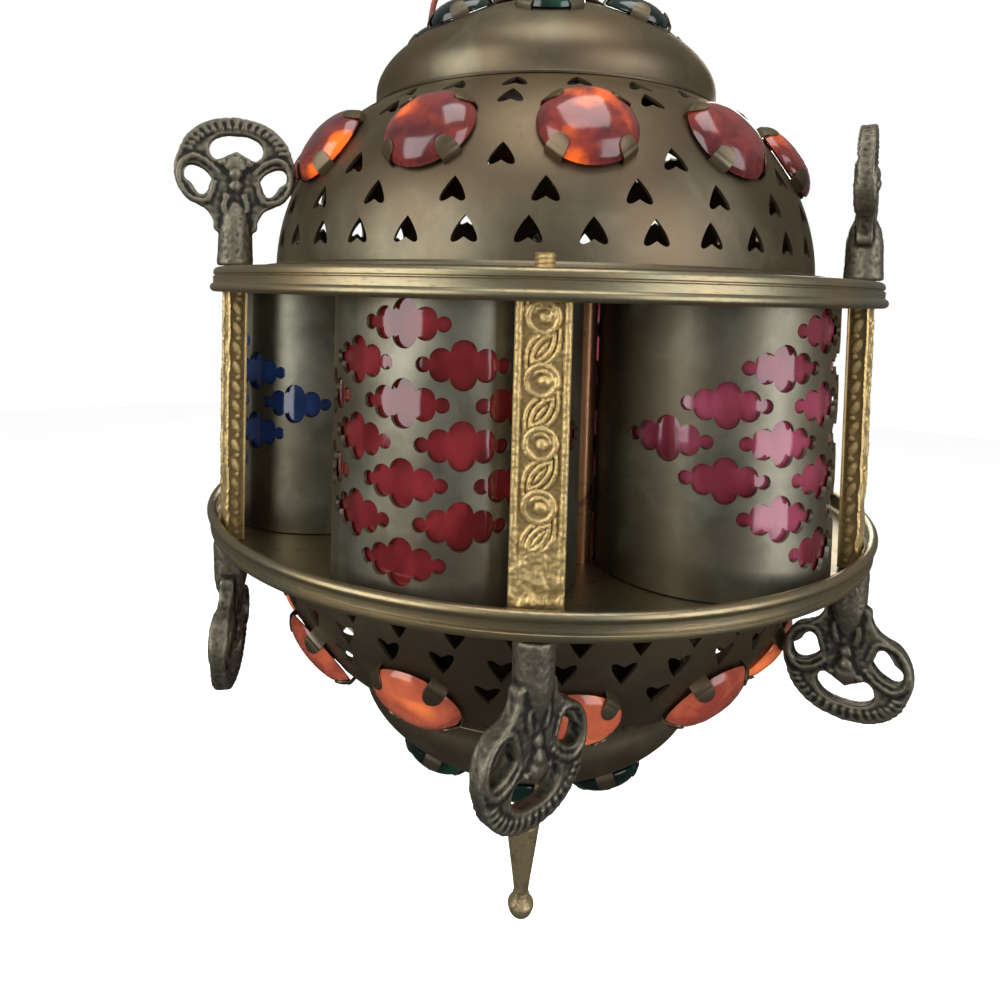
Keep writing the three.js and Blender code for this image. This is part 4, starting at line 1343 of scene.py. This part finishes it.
def post_section(z, seed):
    """One section of a post at a height: its points from front left round to back left, and their relief."""
    x = np.linspace(-POST_WIDTH / 2, POST_WIDTH / 2, 47)
    y = np.linspace(-POST_DEPTH / 2 + 0.5, POST_DEPTH / 2, 15)
    worn = 0.18 + 0.66 * max(0.0, min(1.0, (-z - 14) / 8))
    front_points = [(a, z) for a in x]
    side_points = [(b, z) for b in y]
    front = carving_depth(x, np.full_like(x, z))
    ragged = 0.6 + 0.7 * uneven(front_points, 0.45, seed + 3)
    front = front * (1 - worn) + worn * ragged * GROUND
    front = front + 0.16 * uneven(front_points, 1.2, seed) + 0.3 * uneven(front_points, 0.22, seed + 9)
    corner = 0.55 * np.clip((np.abs(x) - (POST_WIDTH / 2 - 0.5)) / 0.5, 0, 1) ** 2
    level = np.maximum(-POST_DEPTH / 2 + GROUND - front + corner, -POST_DEPTH / 2 - 0.3)
    side = side_depth(y, np.full_like(y, z)) * (1 - 0.6 * worn) + 0.08 * uneven(side_points, 0.9, seed + 5)
    reach = POST_WIDTH / 2 - SIDE_GROUND + side
    ring = [Vector((a, b, z)) for a, b in zip(x, level)]
    ring += [Vector((r, b, z)) for r, b in zip(reach, y)]
    ring += [Vector((-r, b, z)) for r, b in zip(reach[::-1], y[::-1])]
    relief = [*(front / GROUND), *(side / SIDE_GROUND), *(side[::-1] / SIDE_GROUND)]
    return ring, [min(1.0, max(0.0, float(v))) for v in relief]


def post_mesh(seed):
    """A post between its threaded ends, as a skin over its sections."""
    rings = []
    relief = []
    for k in range(POST_STEPS + 1):
        ring, depth = post_section(-BODY_HALF + 2 * BODY_HALF * k / POST_STEPS, seed)
        rings.append(ring)
        relief.extend(depth)
    return written(loft("post", rings, 50.0, merge=False), "relief", relief)


def thread_mesh(start, end):
    """A threaded stud: the radius follows the pitch as the section turns."""
    sides = 20
    rings = []
    steps = max(4, int(abs(end - start) / 0.2))
    for k in range(steps + 1):
        z = start + (end - start) * k / steps
        ring = []
        for s in range(sides):
            share = (z - s / sides) % 1.0
            radius = STUD_RADIUS - 0.28 * abs(2 * share - 1)
            angle = 2 * math.pi * s / sides
            ring.append(Vector((radius * math.cos(angle), radius * math.sin(angle), z)))
        rings.append(ring)
    mesh = loft("thread", rings, 40.0)
    return written(mesh, "relief", [0.5] * len(mesh.vertices))


for i, bearing in enumerate(POST_BEARINGS):
    node = f"post_{i + 1}"
    top = height_of(node, True) - CAGE_MIDDLE
    low = height_of(node, False) - CAGE_MIDDLE
    threads = [thread_mesh(low, -BODY_HALF + 1), thread_mesh(BODY_HALF - 1, top)]
    whole = shade(joined("post", post_mesh(11.0 * i), *threads), 45.0)
    place = Matrix.Rotation(math.radians(bearing), 4, "Z") @ Matrix.Translation((0, -POST_RADIUS, 0))
    keep(f"cast_post_{i + 1}", whole, "cast_brass", POST_BRASS, node, place=place)
print("post:", len(whole.polygons), "faces")

# %% [markdown]
# A key finial is one casting: a socket that screws on the stud, a leafy shank, and a bow with a wide toothed
# arc, a kidney-shaped opening and two round loops. Its lumps and ridges are laid over each other, a voxel
# remesh makes them one skin as the mould did, and how far each point stands out is kept for the finish, which
# paints highlights on the raised points and shade in the hollows.

# %% Key finials
def casting(name, meshes, voxel, smooth):
    """Several overlapping closed meshes as one cast skin."""
    body = placed(name, joined(name, *meshes))
    remesh = body.modifiers.new("casting", "REMESH")
    remesh.mode = "VOXEL"
    remesh.voxel_size = voxel
    soften = body.modifiers.new("soften", "SMOOTH")
    soften.factor = 0.5
    soften.iterations = smooth
    return evaluated(body)


def with_pits_and_relief_light(mesh, pitting, seed):
    """Pits a cast skin, and keeps as an attribute how far each point stands out of its neighbourhood, for
    painted highlights and shade.
    """
    work = bmesh.new()
    work.from_mesh(mesh)
    work.normal_update()
    for vertex in work.verts:
        rough = noise.noise(vertex.co * 0.9 + Vector((seed, 0, 0))) + 0.5 * noise.noise(vertex.co * 2.1)
        vertex.co += vertex.normal * (pitting * rough)
    work.normal_update()
    out = []
    for vertex in work.verts:
        near = [edge.other_vert(vertex).co for edge in vertex.link_edges]
        middle = sum(near, Vector()) / max(1, len(near))
        out.append((vertex.co - middle).dot(vertex.normal))
    work.to_mesh(mesh)
    work.free()
    out = np.array(out)
    edges = np.empty(len(mesh.edges) * 2, dtype=np.int64)
    mesh.edges.foreach_get("vertices", edges)
    edges = edges.reshape(-1, 2)
    for _ in range(3):
        total = out.copy()
        count = np.ones(len(out))
        np.add.at(total, edges[:, 0], out[edges[:, 1]])
        np.add.at(total, edges[:, 1], out[edges[:, 0]])
        np.add.at(count, edges.ravel(), 1)
        out = total / count
    spread = np.percentile(np.abs(out), 92) + 1e-9
    # This value is not wear: it is how far a point stands out, by which the key's finish paints highlights on
    # raised points and shade in the hollows.
    worn = np.clip(0.42 + 0.5 * out / spread, 0, 1)
    return shade(written(mesh, "worn", worn.astype(np.float32)), 180.0)


SOCKET_RADIUS = 4.6
SOCKET_BORE = 3.0
BOW_THICKNESS = 4.0
BOW_EDGE = [
    (0.0, 39.4),
    (5.6, 38.5),
    (9.6, 36.6),
    (12.6, 33.6),
    (14.3, 30.0),
    (15.35, 26.8),
    (15.45, 23.8),
    (14.6, 20.6),
    (12.6, 17.7),
    (9.9, 16.1),
    (7.3, 14.6),
    (5.7, 12.0),
    (4.6, 9.0),
]
KIDNEY_EDGE = [
    (0.0, 30.4),
    (2.7, 28.9),
    (4.7, 28.0),
    (6.2, 28.8),
    (6.9, 30.8),
    (6.1, 33.0),
    (3.4, 34.5),
    (0.0, 34.8),
]
LOOP_EDGE = [
    (6.1, 22.9),
    (7.6, 24.8),
    (10.0, 26.2),
    (12.1, 26.3),
    (13.1, 25.0),
    (13.0, 22.9),
    (11.2, 21.4),
    (10.1, 19.6),
    (8.6, 18.5),
    (7.3, 19.4),
    (6.7, 21.2),
]
LOOP_RIM = [
    (5.2, 22.0),
    (7.2, 17.2),
    (11.4, 17.6),
    (14.0, 21.4),
    (13.8, 26.0),
    (11.2, 28.4),
    (7.6, 27.4),
    (4.6, 24.6),
]


def bow_plate():
    """The flat of the bow: its edge, a kidney-shaped opening and two loops, filled and made thick."""
    edge = BOW_EDGE + [(-x, z) for x, z in reversed(BOW_EDGE[1:])]
    kidney = KIDNEY_EDGE + [(-x, z) for x, z in reversed(KIDNEY_EDGE[1:-1])]
    loops = [[(side * x, z) for x, z in LOOP_EDGE] for side in (-1, 1)]
    curve = bpy.data.curves.new("bow", "CURVE")
    curve.dimensions = "2D"
    curve.fill_mode = "BOTH"
    curve.extrude = BOW_THICKNESS / 2 - 0.5
    curve.bevel_depth = 0.35
    curve.offset = -0.35
    for corners in (edge, kidney, *loops):
        path = curve_through([(x, z, 0) for x, z in [*corners, corners[0]]], 5)[:-1]
        spline = curve.splines.new("POLY")
        spline.points.add(len(path) - 1)
        for point, place in zip(spline.points, path):
            point.co = (place.x, place.y, 0, 1)
        spline.use_cyclic_u = True
    plate = placed("bow", curve)
    mesh = bpy.data.meshes.new_from_object(plate)
    mesh.transform(Matrix.Rotation(math.pi / 2, 4, "X"))
    bpy.data.objects.remove(plate)
    return mesh


def key_meshes():
    """The bow, and the lumps and ridges laid over it, with the socket's mouth at z = 0."""
    socket_outline = [
        (SOCKET_BORE, 0.0),
        (SOCKET_RADIUS - 0.2, 0.0),
        (SOCKET_RADIUS + 0.1, 0.4),
        (SOCKET_RADIUS - 0.1, 4.0),
        (SOCKET_RADIUS - 0.25, 9.6),
        (SOCKET_RADIUS - 0.9, 13.0),
        (2.2, 16.5),
        (0.0, 17.0),
        (0.0, 8.6),
        (SOCKET_BORE, 8.6),
    ]
    socket = turned("socket", socket_outline, 28)
    found = [socket, bow_plate()]
    for face in (-1, 1):
        y = face * 1.75
        for side in (-1, 1):
            rim = curve_through([(side * x, y, z) for x, z in LOOP_RIM], 4)
            found.append(swept("rim", rim, lambda s: 0.85 - 0.35 * abs(2 * s - 1) ** 2, 8))
            found.append(ball("knob", (side * 3.3, y, 27.2), (1.1, 0.9, 1.0), 8, 10))
            fold = curve_through([(side * 1.6, y, 12.6), (side * 2.9, y, 15.2), (side * 2.2, y, 18.8)], 5)
            found.append(swept("fold", fold, 0.7, 8))
        found.append(ball("lump", (0, 0.9 * y, 26.6), (3.1, 1.5, 2.7)))
        found.append(ball("boss", (0, 1.2 * y, 24.4), (1.7, 1.2, 1.9)))
        found.append(ball("chin", (0, 1.05 * y, 21.2), (1.5, 0.9, 1.6)))
        for a in np.linspace(14, 166, 17):
            turn = math.radians(a)
            inner = Vector((11.4 * math.cos(turn), y, 28.6 + 7.6 * math.sin(turn)))
            outer = Vector((14.6 * math.cos(turn), 0.8 * y, 27.9 + 11.3 * math.sin(turn)))
            found.append(swept("tooth", [inner.lerp(outer, t) for t in (0, 0.33, 0.67, 1)], 0.62, 8))
    return found


key = with_pits_and_relief_light(casting("key", key_meshes(), 0.36, 2), 0.11, 4.0)
print("key finial:", len(key.polygons), "faces")

LOWER_TURNS = [45, -32, 15, 70, -20, 100]
UPPER_KEYS = [(1, 65), (3, 35), (5, 20)]


def seat_key(half, number, post, turn):
    """Screws a key on the end of a post, its bow turned by some degrees."""
    upper = half == "upper"
    spot = Matrix.Translation(around(60 * post, POST_RADIUS, SEAT if upper else -SEAT))
    face = Matrix.Rotation(math.radians(turn), 4, "Z")
    place = spot @ (face if upper else face @ OVER)
    name = f"{half}_key_casting_{number}"
    node = f"key_finial_{half}_{number}"
    keep(name, key, "pewter", KEY_METAL, node, body=f"{half}_key_{number}", place=place)


for i, turn in enumerate(LOWER_TURNS):
    seat_key("lower", i + 1, i, turn)
for i, (post, turn) in enumerate(UPPER_KEYS):
    seat_key("upper", i + 1, post, turn)
print("keys:", len(LOWER_TURNS) + len(UPPER_KEYS))

# %% [markdown]
# The bottom finial is turned from a brass bar: a flange, a waist, a long cone and a ball. The neck above is
# spun, with a cast eye on its cap, and the link through the eye carries the lantern. These are outlines
# turned round an axis; a smooth curve through the solid's own points rounds them.

# %% Bottom finial
DROP_STUD = 7.0
DROP_WAIST = [(8.0, 2.2), (5.6, 4.2), (4.2, 8.0), (3.5, 15.0), (3.3, 22.0), (4.0, 25.6), (5.6, 27.6)]


def smooth_outline(points, per_span):
    """Points of a smooth profile, as (radius, height)."""
    return [(p.x, p.y) for p in curve_through([(r, h, 0) for r, h in points], per_span)]


DROP_SEAT = LOWER_TIER_FOOT + TIER_DEPTH + 0.3
drop_outline = [
    (0.0, -DROP_STUD),
    (STUD_RADIUS, -DROP_STUD),
    (STUD_RADIUS, 0.0),
    (8.7, 0.0),
    (9.0, 0.4),
    (8.8, 1.3),
    *smooth_outline(DROP_WAIST, 4),
    (5.8, 28.4),
    (5.6, 29.2),
    *smooth_outline([(5.5, 30), (4.4, 38), (3.1, 47), (2.3, 53)], 5),
    (2.8, 53.4),
    (2.8, 53.9),
    *smooth_outline([(2.5, 54.2), (4.1, 56.0), (4.3, 57.6), (3.3, 60.0), (1.6, 61.3)], 4),
    (0.0, 61.6),
]
drop = turned("drop", drop_outline, 56)
seat = half_place(DROP_SEAT, False)
keep("turned_bottom_finial", drop, "cast_brass", FINIAL_BRASS, "bottom_finial", body="drop", place=seat)
print("bottom finial:", len(drop.polygons), "faces")

# %% Neck, eye and link
NECK_RADIUS = 16.4
EYE_RADIUS = 6
EYE_WIRE = 1.8
EYE_HEIGHT = 26
LINK_RADIUS = 15
LINK_WIRE = 1.7
HOLE_RADIUS = 2.9
HOLE_DEPTH = 12
HOLE_BEARING = -110
HOLE_TILT = 32
neck_outline = [
    (NECK_RADIUS - SHEET, 0.0),
    (20.6, 0.0),
    (21.0, 0.4),
    (20.6, 0.9),
    *smooth_outline([(19.5, 1.4), (17.9, 2.4), (17.2, 4.0), (16.6, 8.0), (16.4, 12.6)], 4),
    (16.9, 13.2),
    (16.9, 13.9),
    (16.3, 14.3),
    *smooth_outline([(15.8, 15.1), (13.6, 17.0), (9.6, 18.9), (5.0, 19.8)], 4),
    (0.0, 20.0),
    (0.0, 17.8),
    (6.0, 17.8),
    (10.8, 16.9),
    (14.2, 14.9),
    (NECK_RADIUS - SHEET, 13.0),
]
neck_shell = turned("neck", neck_outline, 72)
eye_path = [Vector((0, EYE_RADIUS * math.cos(a), EYE_HEIGHT + EYE_RADIUS * math.sin(a))) for a in turns(40)]
eye = swept("eye", eye_path, EYE_WIRE, 14, closed=True)
eye_foot = turned("eye_foot", [(0, 19.2), (4.6, 19.4), (4.2, 20.4), (2.4, 21.4), (0, 21.6)], 32)

hole_half = HOLE_DEPTH / 2
hole_outline = [(0, -hole_half), (HOLE_RADIUS, -hole_half), (HOLE_RADIUS, hole_half), (0, hole_half)]
wire_hole = placed("wire_hole", turned("hole", hole_outline, 24))
wire_hole.matrix_world = (
    Matrix.Rotation(math.radians(HOLE_BEARING), 4, "Z")
    @ Matrix.Translation((0, -0.84 * NECK_RADIUS, 14 + 0.38 * 6))
    @ Matrix.Rotation(math.radians(HOLE_TILT), 4, "X")
)
blank = placed("neck_blank", neck_shell)
drill = blank.modifiers.new("wire hole", "BOOLEAN")
drill.object = wire_hole
drill.operation = "DIFFERENCE"
drill.solver = "EXACT"
neck_drilled = evaluated(blank)
bpy.data.objects.remove(wire_hole)
neck = shade(joined("neck", neck_drilled, eye, eye_foot), 40.0)
keep("spun_neck", neck, "bronze_sheet", AGED_SHEET, "neck", place=Matrix.Translation((0, 0, NECK_FOOT)))

link_low, link_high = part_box("hanging_ring")
link_middle = (link_low.z + link_high.z) / 2 / MM
link_path = [Vector((LINK_RADIUS * math.cos(a), 0, LINK_RADIUS * math.sin(a))) for a in turns(64)]
link = swept("link", link_path, LINK_WIRE, 14, closed=True)
keep("brass_link", link, "cast_brass", LINK_BRASS, "hanging_ring", body="hanger", level=link_middle)
print("neck:", len(neck.polygons), "faces; link at", round(link_middle, 1))

# %% [markdown]
# The lampholder and the nut on the bottom finial's stud are right as solids, hidden but for a glimpse, so
# they only get their finishes.

# %% Carried-over solids
for node, look in {"lampholder": PORCELAIN, "finial_nut": FINIAL_BRASS}.items():
    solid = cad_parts[node]
    solid.data.materials.clear()
    solid.data.materials.append(look)
print("solids kept: lampholder, finial_nut")

# %% [markdown]
# The studio is plain: a pale floor well below the lantern, a white surround, two tall soft boxes in front,
# left and right, whose reflections stand as bands on the lobes, a soft light above, and one behind that
# shines through the piercings.

# %% Floor, world and lights
FLOOR_RADIUS = 3000
FLOOR_HEIGHT = -620


def stage_look():
    finish = Finish("pale_floor")
    cloud = finish.noise(400, 2)
    colour = finish.mix(cloud, (0.97, 0.97, 0.97), (0.99, 0.99, 0.99))
    return finish.set(base_color=colour, roughness=0.8 + cloud * 0.1)


floor_mesh = turned("floor", [(0, -1.0), (FLOOR_RADIUS, -1.0), (FLOOR_RADIUS, 0), (0, 0)], 64)
floor_mesh.transform(TO_METRES @ Matrix.Translation((0, 0, FLOOR_HEIGHT)))
floor = placed("floor", floor_mesh)
floor.data.materials.append(stage_look())
floor.visible_glossy = False

SURROUND_LOW = 0.03
SURROUND_HIGH = 0.30


def studio_world():
    """A white surround that gives even light, but a dim one in what the metal and the glass reflect."""
    world = bpy.data.worlds.new("studio")
    world.use_nodes = True
    graph = Graph(world.node_tree)
    graph.tree.nodes.clear()
    path = graph.node("ShaderNodeLightPath")
    direction = graph.signal("ShaderNodeTexCoord", "Generated")
    up = graph.signal("ShaderNodeSeparateXYZ", 2, values={0: direction})
    rays = [Signal(graph, path.outputs[f"Is {ray} Ray"]) for ray in ("Glossy", "Transmission")]
    dim = graph.math("MAXIMUM", *rays)
    rise = graph.math("SMOOTH_MAX", 0.0, 0.35 + 0.65 * up, 0.3)
    reflected = SURROUND_LOW + (SURROUND_HIGH - SURROUND_LOW) * rise
    white = {"Color": (1.0, 1.0, 1.0, 1.0), "Strength": 1.0 - dim * (1.0 - reflected)}
    light = graph.node("ShaderNodeBackground", values=white)
    end = graph.node("ShaderNodeOutputWorld")
    graph.tree.links.new(light.outputs[0], end.inputs["Surface"])
    return world


bpy.context.scene.world = studio_world()
bpy.context.scene.view_settings.view_transform = "Standard"


def soft_box(name, place, target, size, power, colour=(1.0, 1.0, 1.0)):
    """A rectangular lamp at a place in metres, facing the target."""
    data = bpy.data.lights.new(name, "AREA")
    data.shape = "RECTANGLE"
    data.size, data.size_y = size
    data.energy = power
    data.color = colour
    lamp = placed(name, data)
    lamp.location = place
    lamp.rotation_euler = (Vector(target) - Vector(place)).to_track_quat("-Z", "Y").to_euler()
    return lamp


middle = (0, 0, CAGE_MIDDLE * MM)
soft_box("left_box", (-0.95, -0.85, 0.15), middle, (0.95, 1.2), 13.0)
soft_box("right_box", (0.95, -0.85, 0.0), middle, (0.85, 1.2), 11.0, (0.97, 0.96, 1.0))
soft_box("top_box", (0.1, -0.3, 1.0), middle, (0.8, 0.8), 7.0)
soft_box("rear_box", (0.2, 1.1, 0.1), middle, (0.8, 0.8), 8.0, (1.0, 0.95, 0.88))

# %% [markdown]
# Last, the view layer is brought up to date. Last, the visual model's box is measured against the solids'
# box, which no dimension may leave by more than a little, and the frame is checked.

# %% Finish
bpy.context.view_layer.update()
